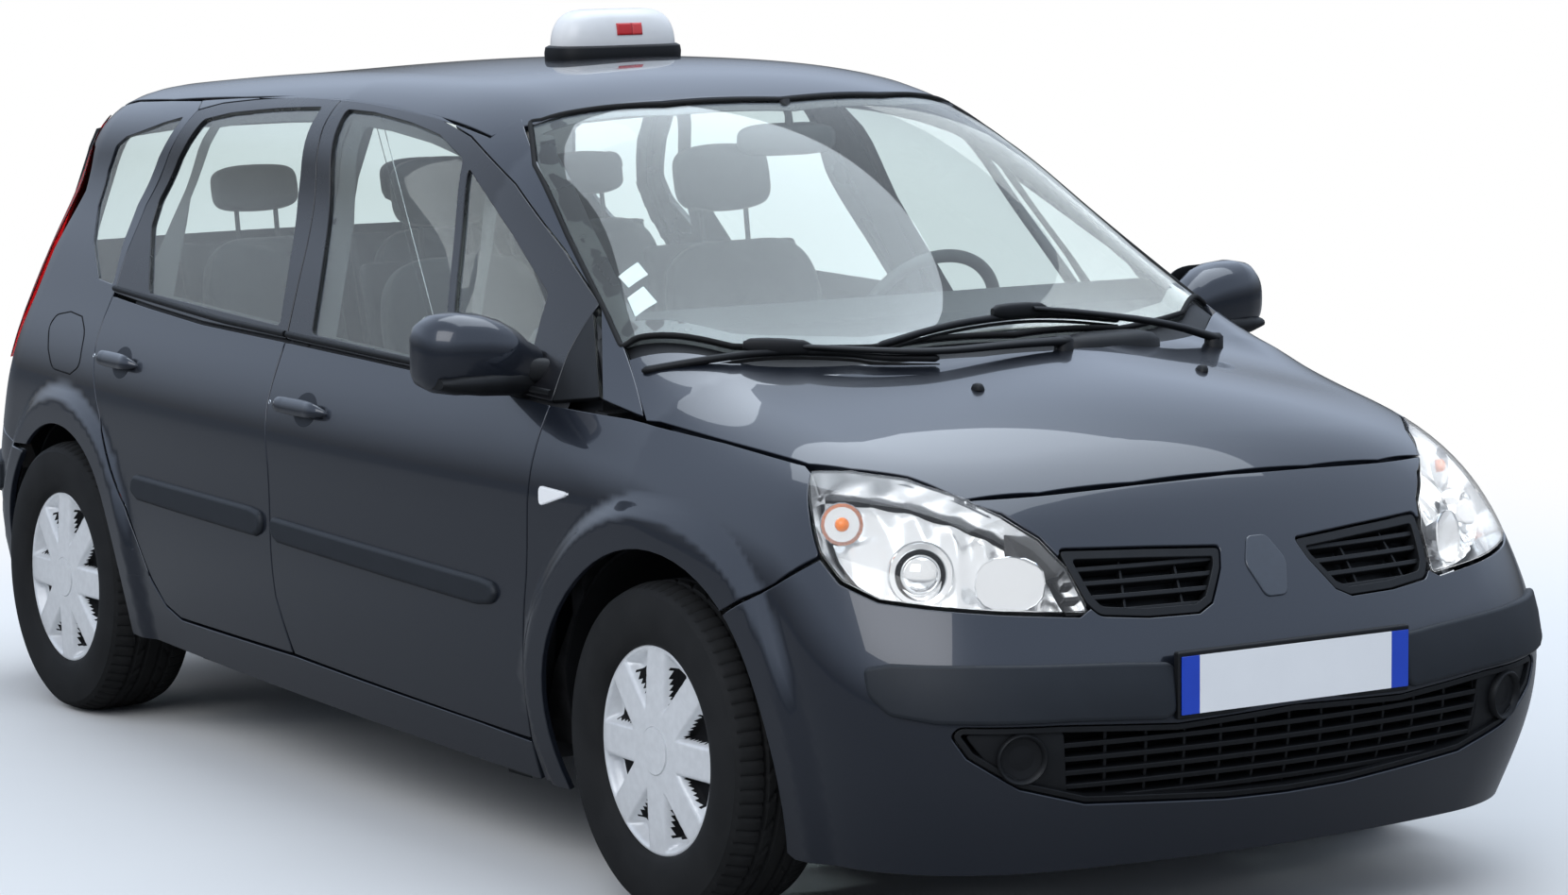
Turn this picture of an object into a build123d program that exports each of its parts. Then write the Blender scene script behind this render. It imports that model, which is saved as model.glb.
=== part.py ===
from build123d import *
import os
from math import cos, radians, sin

# A five-door people carrier used as a taxi cab: millimetres, +X forward, +Y to the left, +Z up.
# The origin is on the ground, under the middle of the overall box.

# ---------------------------------------------------------------- driving sizes
overall_length = 4259.0
front_overhang = 840.0
wheelbase = 2685.0
roof_height = 1560.0
front_track = 1506.0
rear_track = 1506.0

front_axle_x = overall_length / 2 - front_overhang
rear_axle_x = front_axle_x - wheelbase

# walls and gaps
panel_wall = 40.0          # roof, pillars, wings, bumpers with their inner frames
door_wall = 85.0           # whole door below the glass
frame_wall = 28.0          # window frames and the doors' outer skins
glass_inset = 5.0          # glass stands this far inside the outer surface
glass_thickness = 5.0
shut_gap = 5.0             # between outer panels
lip_wall = 14.0            # full-width lip of bonnet and tailgate; their inner frames are narrower
lip_reach = 18.0
frame_gap = 12.0           # between a window frame and the body round it
seat_gap = 0.3             # between separate pieces that rest on each other

# tyres and wheels (195/65 R15)
tyre_radius = 317.0
tyre_width = 195.0
arch_inner_y = 440.0
flare_lip = 24.0
rim_radius = 190.5
rim_width = 176.0
hub_z = tyre_radius

# wheel arches
arch_radius = 378.0
flare_radius = 472.0
flare_lip_y = 880.0
flare_root_y = 800.0
rear_arch_radius = 362.0
rear_flare_radius = 445.0

# wheel arch liners
liner_clearance = 6.0
liner_thickness = 6.0

# the body's cross-section, nose profile and tail profile: height, then half width or station
side_profile = (
    (60.0, 770.0), (240.0, 842.0), (420.0, 878.0), (640.0, 887.0), (960.0, 856.0), (1300.0, 734.0),
    (1480.0, 640.0), (1680.0, 470.0),
)
nose_profile = ((60.0, 745.0), (240.0, 800.0), (430.0, 840.0), (560.0, 840.0), (660.0, 822.0), (1000.0, 690.0), (1700.0, 690.0))
tail_profile = ((60.0, -3310.0), (240.0, -3390.0), (420.0, -3419.0), (600.0, -3419.0), (680.0, -3350.0), (960.0, -3322.0),
                (1300.0, -3170.0), (1700.0, -2870.0))
side_barrel_radius = 22000.0
barrel_sweep = 16.0
barrel_station = -1300.0     # where the body is widest
nose_plan_radius = 2200.0
tail_plan_radius = 2600.0
nose_corner_radius = 400.0
tail_corner_radius = 280.0

# crown of bonnet, windscreen and roof: the centreline turned about a deep axis
crown_axis_z = -1500.0
crown_sweep = 80.0
crown_inset_ratio = 1.1      # drawing down by this much thins the sloping screen by 1
centreline_bonnet = ((-60.0, 1050.0), (400.0, 938.0), (600.0, 862.0), (765.0, 760.0), (900.0, 620.0))
centreline_bonnet_slope = -9.0
screen_foot = (-60.0, 1050.0)
screen_mid = (-480.0, 1296.0)
screen_top = (-885.0, 1493.0)
roof_peak_station = -1540.0
roof_tail = (-3050.0, 1440.0)

pillar_half = 62.0
belt_lap = 40.0
core_inset = 20.0

# side outlines: station from the front axle, height (right-hand side, mirrored for the left)
door_front_edge = ((-378.0, 932.0), (-424.0, 800.0), (-435.0, 600.0), (-498.0, 262.0))
door_joint_edge = ((-1476.0, 303.0), (-1518.0, 420.0), (-1519.0, 700.0), (-1530.0, 840.0), (-1484.0, 968.0))
door_rear_edge = (
    (-2064.0, 314.0), (-2138.0, 325.0), (-2182.0, 370.0), (-2294.0, 526.0), (-2419.0, 690.0),
    (-2485.0, 814.0), (-2496.0, 865.0), (-2464.0, 935.0), (-2431.0, 999.0),
)
frame_front_top = (-400.0, 1118.0)
frame_top_front = ((-562.0, 1212.0), (-787.0, 1327.0), (-1002.0, 1417.0), (-1145.0, 1449.0), (-1455.0, 1471.0))
frame_joint_top = (-1632.0, 1470.0)
frame_top_rear = ((-1812.0, 1464.0), (-1999.0, 1452.0), (-2192.0, 1436.0), (-2308.0, 1417.0))
frame_rear_mid = (-2390.0, 1200.0)
sill_bottom_front = (-503.0, 172.0)
sill_bottom_rear = (-2330.0, 228.0)

# window openings
front_light = (
    (-800.0, 976.0), (-985.0, 1368.0), (-1116.0, 1410.0), (-1253.0, 1430.0), (-1434.0, 1444.0),
    (-1562.0, 1445.0), (-1374.0, 992.0),
)
front_vent = ((-480.0, 968.0), (-515.0, 1130.0), (-707.0, 1236.0), (-945.0, 1350.0), (-765.0, 972.0))
rear_light = (
    (-1530.0, 998.0), (-1614.0, 1197.0), (-1682.0, 1446.0), (-1886.0, 1435.0), (-2121.0, 1416.0),
    (-2253.0, 1396.0), (-2326.0, 1228.0), (-2233.0, 1017.0),
)
quarter_light = (
    (-2450.0, 1020.0), (-2440.0, 1200.0), (-2375.0, 1396.0), (-2474.0, 1380.0), (-2660.0, 1340.0),
    (-2700.0, 1318.0), (-2690.0, 1263.0), (-2675.0, 1188.0), (-2634.0, 1104.0), (-2544.0, 1026.0),
)

# joints between the outer panels
wing_joint = ((170.0, 560.0), (330.0, 648.0), (480.0, 726.0), (620.0, 726.0))
rear_joint = ((-2960.0, 540.0), (-3060.0, 640.0), (-3120.0, 662.0), (-3700.0, 662.0))
bonnet_side_rear = (-140.0, 778.0)
bonnet_side_front = (330.0, 698.0)
bonnet_rear_mid = 112.0
bonnet_rear_corner = (-235.0, 725.0)
bonnet_nose_mid = 655.0
bonnet_nose_corner = (590.0, 550.0)
screen_top_mid = -880.0
screen_top_corner = (-985.0, 545.0)
screen_foot_mid = 60.0
screen_foot_corner = (-290.0, 722.0)
roof_joint_y = 585.0
roof_rear_station = -2985.0
pillar_foot = (-140.0, 925.0)

# front view: half offset, height
lamp_outline = (
    (391.0, 632.0), (470.0, 636.0), (600.0, 641.0), (700.0, 655.0), (765.0, 700.0), (778.0, 760.0),
    (740.0, 830.0), (695.0, 864.0), (640.0, 858.0), (560.0, 832.0), (486.0, 792.0), (437.0, 736.0),
)
upper_grille = ((100.0, 738.0), (420.0, 742.0), (378.0, 622.0), (150.0, 600.0))
lower_grille_half = 640.0
lower_grille_z = (262.0, 432.0)
strip_z = (436.0, 552.0)
strip_inner = 285.0
bumper_bottom = 178.0
plate_size = (520.0, 110.0)
plate_z = 499.0

# rear view: half offset, height
tail_lamp_outline = ((610.0, 1290.0), (560.0, 1275.0), (600.0, 1060.0), (650.0, 930.0), (655.0, 790.0), (900.0, 775.0), (900.0, 1060.0))
tailgate_outline = ((520.0, 1560.0), (560.0, 1275.0), (600.0, 1060.0), (650.0, 930.0), (655.0, 790.0), (640.0, 662.0))
rear_light_outline = ((440.0, 1378.0), (500.0, 1275.0), (540.0, 1060.0))

# ---------------------------------------------------------------- frames of reference
side_plane = Plane.XZ.move(Location((front_axle_x, 0, 0)))
deep = 1300.0                # reach of every cutting prism


def side_block(side, inset):
    """The body's cross-section swept along one slightly barrelled side."""
    axis_y = -side * (side_barrel_radius - side_profile[3][1])
    section = Plane((front_axle_x + barrel_station, axis_y, 0), x_dir=(0, side, 0), z_dir=(side, 0, 0))
    inner = side_barrel_radius - side_profile[3][1] - 1200
    reach = tuple((side_barrel_radius - side_profile[3][1] + half - inset, z) for z, half in side_profile)
    with BuildPart() as block:
        with BuildSketch(section):
            with BuildLine():
                Polyline((inner, side_profile[0][0]), *reach, (inner, side_profile[-1][0]), close=True)
            make_face()
        revolve(axis=Axis((front_axle_x + barrel_station, axis_y, 0), (0, 0, 1)), revolution_arc=barrel_sweep)
    turn = Axis((front_axle_x + barrel_station, axis_y, 0), (0, 0, 1))
    return block.part.rotate(turn, -barrel_sweep / 2)


def end_block(profile, plan_radius, direction, inset):
    """Nose or tail: its profile turned about an upright axis."""
    tip = max(station * direction for _, station in profile)
    axis_station = direction * (tip - plan_radius)
    reach = tuple((direction * (station - axis_station) - inset, z) for z, station in profile)
    with BuildPart() as block:
        with BuildSketch(Plane.XZ.move(Location((front_axle_x + axis_station, 0, 0)))):
            with BuildLine():
                Polyline((0, profile[0][0]), *reach, (0, profile[-1][0]), close=True)
            make_face()
        revolve(axis=Axis((front_axle_x + axis_station, 0, 0), (0, 0, 1)))
    return block.part


def corner_block(inset):
    """The largest plan outline, upright, with its rounded corners."""
    half = side_profile[3][1] - inset
    nose = 840.0 - inset
    tail = -3419.0 + inset
    with BuildPart() as block:
        with BuildSketch(Plane.XY) as plan:
            with Locations((front_axle_x + (nose + tail) / 2, 0)):
                Rectangle(nose - tail, 2 * half)
            corners = plan.vertices().sort_by(Axis.X)
            fillet(corners[2:], nose_corner_radius - inset)
            corners = plan.vertices().sort_by(Axis.X)
            fillet(corners[:2], tail_corner_radius - inset)
        extrude(amount=1700)
    return block.part


def crown_block(inset):
    """Bonnet, windscreen and roof as one turned solid, drawn down by inset."""
    with BuildPart() as crown:
        with BuildSketch(side_plane) as profile:
            with BuildLine():
                slope = radians(centreline_bonnet_slope)
                first = TangentArc(*centreline_bonnet[:2], tangent=(cos(slope), sin(slope)))
                second = TangentArc(*centreline_bonnet[1:3], tangent=first % 1)
                third = TangentArc(*centreline_bonnet[2:4], tangent=second % 1)
                TangentArc(*centreline_bonnet[3:5], tangent=third % 1)
                ThreePointArc(screen_foot, screen_mid, screen_top)
                TangentArc((roof_peak_station, roof_height), screen_top, tangent=(1, 0))
                TangentArc((roof_peak_station, roof_height), roof_tail, tangent=(-1, 0))
                tail_low = (roof_tail[0] - 500, roof_tail[1] - 250)
                Polyline(roof_tail, tail_low, (tail_low[0], -300), (1000, -300), (1000, 620), centreline_bonnet[4])
            make_face()
        revolve(axis=Axis((0, 0, crown_axis_z), (1, 0, 0)), revolution_arc=crown_sweep)
    centred = crown.part.rotate(Axis((0, 0, crown_axis_z), (1, 0, 0)), -crown_sweep / 2)
    return centred.moved(Location((0, 0, -inset * crown_inset_ratio)))


def body_block(inset):
    """The closed outer form of the body, drawn in by inset."""
    with BuildPart() as block:
        add(side_block(-1, inset))
        add(side_block(1, inset), mode=Mode.INTERSECT)
        add(end_block(nose_profile, nose_plan_radius, 1, inset), mode=Mode.INTERSECT)
        add(end_block(tail_profile, tail_plan_radius, -1, inset), mode=Mode.INTERSECT)
        add(corner_block(inset), mode=Mode.INTERSECT)
        add(crown_block(inset), mode=Mode.INTERSECT)
    return block.part


def side_prism(points, inset=0.0):
    """A prism through the right-hand side of the body, from the centreline outwards."""
    with BuildPart() as prism:
        with BuildSketch(side_plane):
            with BuildLine():
                Polyline(*points, close=True)
            make_face()
            if inset:
                offset(amount=-inset, kind=Kind.INTERSECTION)
        extrude(amount=deep)
    return prism.part


def end_prism(points, near, far, inset=0.0):
    """Prisms along X between two stations through a mirrored pair of end-view outlines."""
    with BuildPart() as prism:
        with BuildSketch(Plane.YZ.offset(front_axle_x + near)):
            with BuildLine():
                Polyline(*points, close=True)
            make_face()
            if inset:
                offset(amount=-inset, kind=Kind.INTERSECTION)
        extrude(amount=far - near)
        mirror(about=Plane.XZ)
    return prism.part


def centre_prism(points, near, far, grow=0.0):
    """A prism along X through one end-view outline that spans the centreline."""
    twin = tuple((-y, z) for y, z in points[::-1])
    with BuildPart() as prism:
        with BuildSketch(Plane.YZ.offset(front_axle_x + near)):
            with BuildLine():
                Polyline(*points, *twin, close=True)
            make_face()
            if grow:
                offset(amount=grow, kind=Kind.INTERSECTION)
        extrude(amount=far - near)
    return prism.part


def along_y(radius, near, far, station_x, height):
    """A pair of cylinders along Y, one on each side, between two offsets."""
    with BuildPart() as pair:
        for side in (-1, 1):
            with Locations(Location((station_x, side * near, height), (-90 * side, 0, 0))):
                Cylinder(radius, far - near, align=(Align.CENTER, Align.CENTER, Align.MIN))
    return pair.part


def flare_cones(station_x, arch, root):
    """Raised rings round a pair of wheel arches."""
    with BuildPart() as pair:
        for side in (-1, 1):
            with Locations(Location((station_x, side * flare_root_y, hub_z), (-90 * side, 0, 0))):
                Cone(root, arch + flare_lip, flare_lip_y - flare_root_y,
                     align=(Align.CENTER, Align.CENTER, Align.MIN))
    return pair.part


def both_sides(piece):
    """A right-hand piece and its mirror image, as one part of two solids."""
    with BuildPart() as pair:
        add(piece)
        mirror(piece, about=Plane.XZ)
    return pair.part


def keep(piece, name):
    """Label a finished piece and write it."""
    piece.label = name
    export_step(piece, f"parts/{name}.step")


os.makedirs("parts", exist_ok=True)

# ---------------------------------------------------------------- body forms
outer_form = body_block(0)
glass_form = body_block(glass_inset)
glass_inner_form = body_block(glass_inset + glass_thickness)
frame_inner_form = body_block(frame_wall)
wall_inner_form = body_block(panel_wall)
door_inner_form = body_block(door_wall)

front_arches = along_y(arch_radius, arch_inner_y, 1000, front_axle_x, hub_z)
rear_arches = along_y(rear_arch_radius, arch_inner_y, 1000, rear_axle_x, hub_z)

with BuildPart() as outer_flared:
    add(outer_form)
    add(flare_cones(front_axle_x, arch_radius, flare_radius))
    add(flare_cones(rear_axle_x, rear_arch_radius, rear_flare_radius))

with BuildPart() as body_wall:
    add(outer_flared.part)
    add(wall_inner_form, mode=Mode.SUBTRACT)
    add(front_arches, mode=Mode.SUBTRACT)
    add(rear_arches, mode=Mode.SUBTRACT)

with BuildPart() as door_skin:
    add(outer_flared.part)
    add(frame_inner_form, mode=Mode.SUBTRACT)

with BuildPart() as door_core:
    add(frame_inner_form)
    add(door_inner_form, mode=Mode.SUBTRACT)

with BuildPart() as glass_wall:
    add(glass_form)
    add(glass_inner_form, mode=Mode.SUBTRACT)

lip_form = body_block(lip_wall)
seat_form = body_block(frame_wall + seat_gap)
with BuildPart() as pillar_wall:
    add(seat_form)
    add(door_inner_form, mode=Mode.SUBTRACT)

# ---------------------------------------------------------------- side outlines
front_lower_ring = door_joint_edge[::-1] + door_front_edge[::-1]
rear_lower_ring = door_joint_edge + door_rear_edge[::-1]
front_core_ring = tuple((x + pillar_half, z) for x, z in door_joint_edge[::-1]) + door_front_edge[::-1]
rear_core_ring = tuple((x - pillar_half, z) for x, z in door_joint_edge) + door_rear_edge[::-1]
belt_front = (door_front_edge[0][0] - 12, door_front_edge[0][1] - belt_lap)
belt_joint = (door_joint_edge[-1][0] - 6, door_joint_edge[-1][1] - belt_lap)
belt_rear = (door_rear_edge[-1][0] - 16, door_rear_edge[-1][1] - belt_lap)
front_frame_ring = (
    (frame_front_top,) + frame_top_front + (frame_joint_top, door_joint_edge[-1], belt_joint, belt_front)
)
rear_frame_ring = (
    (frame_joint_top,) + frame_top_rear + (frame_rear_mid, door_rear_edge[-1], belt_rear, belt_joint)
    + (door_joint_edge[-1],)
)
half_gap = shut_gap / 2
frame_inset = 5.0

with BuildPart() as door_apertures:
    for ring in (front_lower_ring, rear_lower_ring):
        add(side_prism(ring, -half_gap))
    for ring in (front_frame_ring, rear_frame_ring):
        add(side_prism(ring, frame_inset - frame_gap))


def door_outline(lower_ring, frame_ring):
    """The prism of a door's outer skin and its window frame."""
    with BuildPart() as outline:
        add(side_prism(lower_ring, half_gap))
        add(side_prism(frame_ring, frame_inset))
    return outline.part


def door_shell(lower_ring, frame_ring, core_ring, windows, arch_reach):
    """A right-hand door: outer skin with window frame, and the thick core below the glass."""
    with BuildPart() as skin:
        add(door_skin.part)
        add(door_outline(lower_ring, frame_ring), mode=Mode.INTERSECT)
        for window in windows:
            add(side_prism(window), mode=Mode.SUBTRACT)
    with BuildPart() as core:
        add(door_core.part)
        add(side_prism(core_ring, core_inset), mode=Mode.INTERSECT)
    with BuildPart() as door:
        add(skin.part)
        add(core.part)
        if arch_reach:
            add(along_y(arch_reach, 0, 1000, rear_axle_x, hub_z), mode=Mode.SUBTRACT)
    return door.part


def panes(windows):
    """The right-hand panes that fill a set of window openings."""
    with BuildPart() as glazing:
        for window in windows:
            add(glass_wall.part.intersect(side_prism(window, seat_gap)))
    return glazing.part


def mirrored(piece):
    """The left-hand twin of a right-hand piece."""
    return piece.mirror(Plane.XZ)


# ---------------------------------------------------------------- doors
front_door = door_shell(front_lower_ring, front_frame_ring, front_core_ring, (front_light, front_vent), 0)
rear_door = door_shell(rear_lower_ring, rear_frame_ring, rear_core_ring, (rear_light,), 0)
keep(front_door, "door_front_right")
keep(mirrored(front_door), "door_front_left")
keep(rear_door, "door_rear_right")
keep(mirrored(rear_door), "door_rear_left")
front_panes = panes((front_light, front_vent))
rear_panes = panes((rear_light,))
keep(front_panes, "glass_front_right")
keep(mirrored(front_panes), "glass_front_left")
keep(rear_panes, "glass_rear_right")
keep(mirrored(rear_panes), "glass_rear_left")

# ---------------------------------------------------------------- regions of the outer panels
def plan_prism(rear_corner, rear_mid, front_corner, front_mid, low, high, grow=0.0):
    """An upright prism, mirrored about the centreline, with bowed front and rear edges."""
    (rx, ry), (fx, fy) = rear_corner, front_corner
    x0 = front_axle_x
    with BuildPart() as prism:
        with BuildSketch(Plane.XY.offset(low)):
            with BuildLine():
                ThreePointArc((x0 + rx, -ry), (x0 + rear_mid, 0), (x0 + rx, ry))
                Line((x0 + rx, ry), (x0 + fx, fy))
                ThreePointArc((x0 + fx, fy), (x0 + front_mid, 0), (x0 + fx, -fy))
                Line((x0 + fx, -fy), (x0 + rx, -ry))
            make_face()
            if grow:
                offset(amount=grow)
        extrude(amount=high - low)
    return prism.part


def bonnet_prism(grow):
    """The bonnet's region: bowed rear and front edges, shoulders that meet the wings."""
    x0 = front_axle_x
    (cx, cy), (sx, sy) = bonnet_rear_corner, bonnet_side_rear
    (fx, fy), (nx, ny) = bonnet_side_front, bonnet_nose_corner
    with BuildPart() as prism:
        with BuildSketch(Plane.XY.offset(500)):
            with BuildLine():
                ThreePointArc((x0 + cx, -cy), (x0 + bonnet_rear_mid, 0), (x0 + cx, cy))
                Polyline((x0 + cx, cy), (x0 + sx, sy), (x0 + fx, fy), (x0 + nx, ny))
                ThreePointArc((x0 + nx, ny), (x0 + bonnet_nose_mid, 0), (x0 + nx, -ny))
                Polyline((x0 + nx, -ny), (x0 + fx, -fy), (x0 + sx, -sy), (x0 + cx, -cy))
            make_face()
            if grow:
                offset(amount=grow)
        extrude(amount=700)
    return prism.part


def side_region(points, grow=0.0):
    """A prism right across the body through a side outline."""
    with BuildPart() as prism:
        with BuildSketch(side_plane):
            with BuildLine():
                Polyline(*points, close=True)
            make_face()
            if grow:
                offset(amount=grow, kind=Kind.INTERSECTION)
        extrude(amount=deep, both=True)
    return prism.part


def right_half(piece):
    """What lies on the right-hand side of the centreline."""
    with BuildPart() as half:
        add(piece)
        with Locations((0, -deep / 2, deep / 2)):
            Box(2 * overall_length, deep, 2 * deep, mode=Mode.INTERSECT)
    return half.part


fit = seat_gap
bonnet_region = bonnet_prism(0)
bonnet_opening = bonnet_prism(shut_gap)
screen_region = plan_prism(screen_top_corner, screen_top_mid, screen_foot_corner, screen_foot_mid, 700, 1700)
screen_opening = plan_prism(screen_top_corner, screen_top_mid, screen_foot_corner, screen_foot_mid, 700, 1700, fit)
cowl_front = ((bonnet_rear_corner[0] - shut_gap, bonnet_rear_corner[1]), bonnet_rear_mid - shut_gap)
cowl_region = plan_prism(screen_foot_corner, screen_foot_mid, *cowl_front, 700, 1300)
cowl_opening = plan_prism(screen_foot_corner, screen_foot_mid, *cowl_front, 700, 1300, fit)
roof_front = ((screen_top_corner[0], roof_joint_y), screen_top_mid)
roof_region = plan_prism((roof_rear_station, roof_joint_y), roof_rear_station - 20, *roof_front, 1300, 1700)
roof_opening = plan_prism((roof_rear_station, roof_joint_y), roof_rear_station - 20, *roof_front, 1300, 1700, fit)
tailgate_region = centre_prism(tailgate_outline, -3700, -2700)
tailgate_opening = centre_prism(tailgate_outline, -3700, -2700, shut_gap)
lamp_region = end_prism(lamp_outline, 100, 1000)
lamp_opening = end_prism(lamp_outline, 100, 1000, -fit)
tail_lamp_region = end_prism(tail_lamp_outline, -3700, -2990)
tail_lamp_opening = end_prism(tail_lamp_outline, -3700, -2990, -fit)
front_bumper_ring = ((170.0, bumper_bottom),) + wing_joint + ((620.0, 1000.0), (1100.0, 1000.0), (1100.0, bumper_bottom))
front_bumper_region = side_region(front_bumper_ring)
front_bumper_opening = side_region(front_bumper_ring, fit)
rear_bumper_ring = ((rear_joint[0][0], 250.0),) + rear_joint + ((-3700.0, 250.0),)
rear_bumper_region = side_region(rear_bumper_ring)
rear_bumper_opening = side_region(rear_bumper_ring, fit)

sill_ring = (
    sill_bottom_front, (-503.0, 300.0), (-503.0, 420.0), (-2140.0, 420.0), (-2140.0, 222.0),
)
wing_ring = (
    (-503.0 + fit, 172.0), (-503.0 + fit, 400.0), (-395.0, 950.0), (520.0, 950.0), (520.0, 560.0), (170.0, 560.0),
    (170.0, 172.0),
)
quarter_ring = (
    (-2140.0 - fit, 222.0), (-2140.0 - fit, 420.0), (-2320.0, 800.0), (-2320.0, 1700.0), (-3600.0, 1700.0),
    (-3600.0, 500.0), (-2900.0, 500.0), (-2900.0, 222.0),
)
rail_ring = (
    (pillar_foot[0], pillar_foot[1]), (pillar_foot[0], 1700.0), (-2320.0 + fit, 1700.0), (-2320.0 + fit, 1350.0),
    (-1500.0, 1300.0), (-420.0, 940.0), (-380.0, 934.0),
)
pillar_reach = pillar_half - 8
pillar_bottom = (door_joint_edge[0][0], 262.0)
pillar_top_z = 1478.0
pillar_line = (pillar_bottom,) + door_joint_edge + ((frame_joint_top[0], pillar_top_z),)
pillar_ring = tuple((x + pillar_reach, z) for x, z in pillar_line) + tuple(
    (x - pillar_reach, z) for x, z in pillar_line[::-1]
)

right_wall = right_half(body_wall.part)

# ---------------------------------------------------------------- fixed body panels
jacking_pads = (
    # station, underside height
    (-620.0, 160.0), (-2000.0, 205.0),
)
pad_y = 820.0
pad_size = (90.0, 34.0, 40.0)
with BuildPart() as pillar:
    add(pillar_wall.part)
    add(side_prism(pillar_ring), mode=Mode.INTERSECT)
    add(roof_opening, mode=Mode.SUBTRACT)
with BuildPart() as sill:
    add(right_wall)
    add(side_prism(sill_ring), mode=Mode.INTERSECT)
    add(door_apertures.part, mode=Mode.SUBTRACT)
    add(pillar.part)
    for station, low in jacking_pads:
        with Locations((front_axle_x + station, -pad_y, low)):
            Box(*pad_size, align=(Align.CENTER, Align.CENTER, Align.MIN))
keep(both_sides(sill.part), "side_sills")

with BuildPart() as wing:
    add(right_wall)
    add(side_prism(wing_ring), mode=Mode.INTERSECT)
    for opening in (door_apertures.part, bonnet_opening, lamp_opening, front_bumper_opening, cowl_opening):
        add(opening, mode=Mode.SUBTRACT)
keep(both_sides(wing.part), "front_wings")

with BuildPart() as quarter:
    add(right_wall)
    add(side_prism(quarter_ring), mode=Mode.INTERSECT)
    for opening in (door_apertures.part, roof_opening, tailgate_opening, tail_lamp_opening, rear_bumper_opening,
                    side_prism(quarter_light)):
        add(opening, mode=Mode.SUBTRACT)
keep(both_sides(quarter.part), "quarter_panels")
keep(both_sides(panes((quarter_light,))), "quarter_glass")

with BuildPart() as rail:
    add(right_wall)
    add(side_prism(rail_ring), mode=Mode.INTERSECT)
    for opening in (door_apertures.part, roof_opening, screen_opening, cowl_opening, bonnet_opening, wing.part,
                    side_prism(pillar_ring, -fit)):
        add(opening, mode=Mode.SUBTRACT)
keep(both_sides(rail.part), "roof_rails")

with BuildPart() as roof:
    add(body_wall.part)
    add(roof_region, mode=Mode.INTERSECT)
    add(screen_opening, mode=Mode.SUBTRACT)
keep(roof.part, "roof_panel")

with BuildPart() as bonnet:
    add(body_wall.part)
    add(bonnet_region, mode=Mode.INTERSECT)
    add(lip_form - bonnet_prism(-lip_reach), mode=Mode.SUBTRACT)
    add(end_prism(lamp_outline, 100, 1000, -shut_gap), mode=Mode.SUBTRACT)
keep(bonnet.part, "bonnet")

with BuildPart() as windscreen:
    add(outer_form)
    add(glass_form, mode=Mode.SUBTRACT)
    add(screen_region, mode=Mode.INTERSECT)
keep(windscreen.part, "windscreen")

with BuildPart() as cowl:
    add(glass_form)
    add(frame_inner_form, mode=Mode.SUBTRACT)
    add(cowl_region, mode=Mode.INTERSECT)
keep(cowl.part, "cowl_panel")

with BuildPart() as lamps:
    add(body_wall.part)
    add(lamp_region, mode=Mode.INTERSECT)
keep(lamps.part, "headlamps")

with BuildPart() as rear_lamps:
    add(body_wall.part)
    add(tail_lamp_region, mode=Mode.INTERSECT)
    add(tailgate_opening, mode=Mode.SUBTRACT)
keep(rear_lamps.part, "tail_lamps")

lower_ring = (
    (lower_grille_half, lower_grille_z[0] + 40), (lower_grille_half - 60, lower_grille_z[0]),
    (-lower_grille_half + 60, lower_grille_z[0]), (-lower_grille_half, lower_grille_z[0] + 40),
    (-lower_grille_half + 40, lower_grille_z[1]), (lower_grille_half - 40, lower_grille_z[1]),
)
slat_pitch = 27.0
slat_slot = 14.0
slat_rim = 9.0


def nose_prism(points, inset=0.0):
    """A prism along X through the nose for one end-view outline."""
    with BuildPart() as prism:
        with BuildSketch(Plane.YZ.offset(front_axle_x + 450)):
            with BuildLine():
                Polyline(*points, close=True)
            make_face()
            if inset:
                offset(amount=-inset, kind=Kind.INTERSECTION)
        extrude(amount=600)
    return prism.part


def grille(points):
    """Slats across one opening: a rim with slots cut between the slats."""
    low = min(z for _, z in points)
    high = max(z for _, z in points)
    rows = int((high - low - 2 * slat_rim) / slat_pitch)
    start = (low + high) / 2 - (rows - 1) * slat_pitch / 2
    with BuildPart() as slots:
        with Locations(*[(front_axle_x + 700, 0, start + row * slat_pitch) for row in range(rows)]):
            Box(600, 2000, slat_slot)
        add(nose_prism(points, slat_rim), mode=Mode.INTERSECT)
    with BuildPart() as slats:
        add(glass_form)
        add(frame_inner_form, mode=Mode.SUBTRACT)
        add(nose_prism(points, fit), mode=Mode.INTERSECT)
        add(slots.part, mode=Mode.SUBTRACT)
    return slats.part


left_grille = tuple((-y, z) for y, z in upper_grille)
grille_rings = (upper_grille, left_grille, lower_ring)
with BuildPart() as front_bumper:
    add(body_wall.part)
    add(front_bumper_region, mode=Mode.INTERSECT)
    for opening in (bonnet_opening, lamp_opening):
        add(opening, mode=Mode.SUBTRACT)
    for ring in grille_rings:
        add(nose_prism(ring), mode=Mode.SUBTRACT)
keep(front_bumper.part, "front_bumper")

with BuildPart() as front_grilles:
    for ring in grille_rings:
        add(grille(ring))
keep(front_grilles.part, "front_grilles")

with BuildPart() as rear_bumper:
    add(body_wall.part)
    add(rear_bumper_region, mode=Mode.INTERSECT)
    add(tailgate_opening, mode=Mode.SUBTRACT)
keep(rear_bumper.part, "rear_bumper")

roof_gap_opening = plan_prism((roof_rear_station, roof_joint_y), roof_rear_station - 20, *roof_front, 1300, 1700, shut_gap)
tailgate_inner = centre_prism(tailgate_outline, -3700, -2700, -lip_reach)
with BuildPart() as tailgate:
    add(body_wall.part)
    add(tailgate_region, mode=Mode.INTERSECT)
    add(lip_form - tailgate_inner, mode=Mode.SUBTRACT)
    add(roof_gap_opening, mode=Mode.SUBTRACT)
    add(centre_prism(rear_light_outline, -3700, -2700), mode=Mode.SUBTRACT)
keep(tailgate.part, "tailgate")

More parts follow.
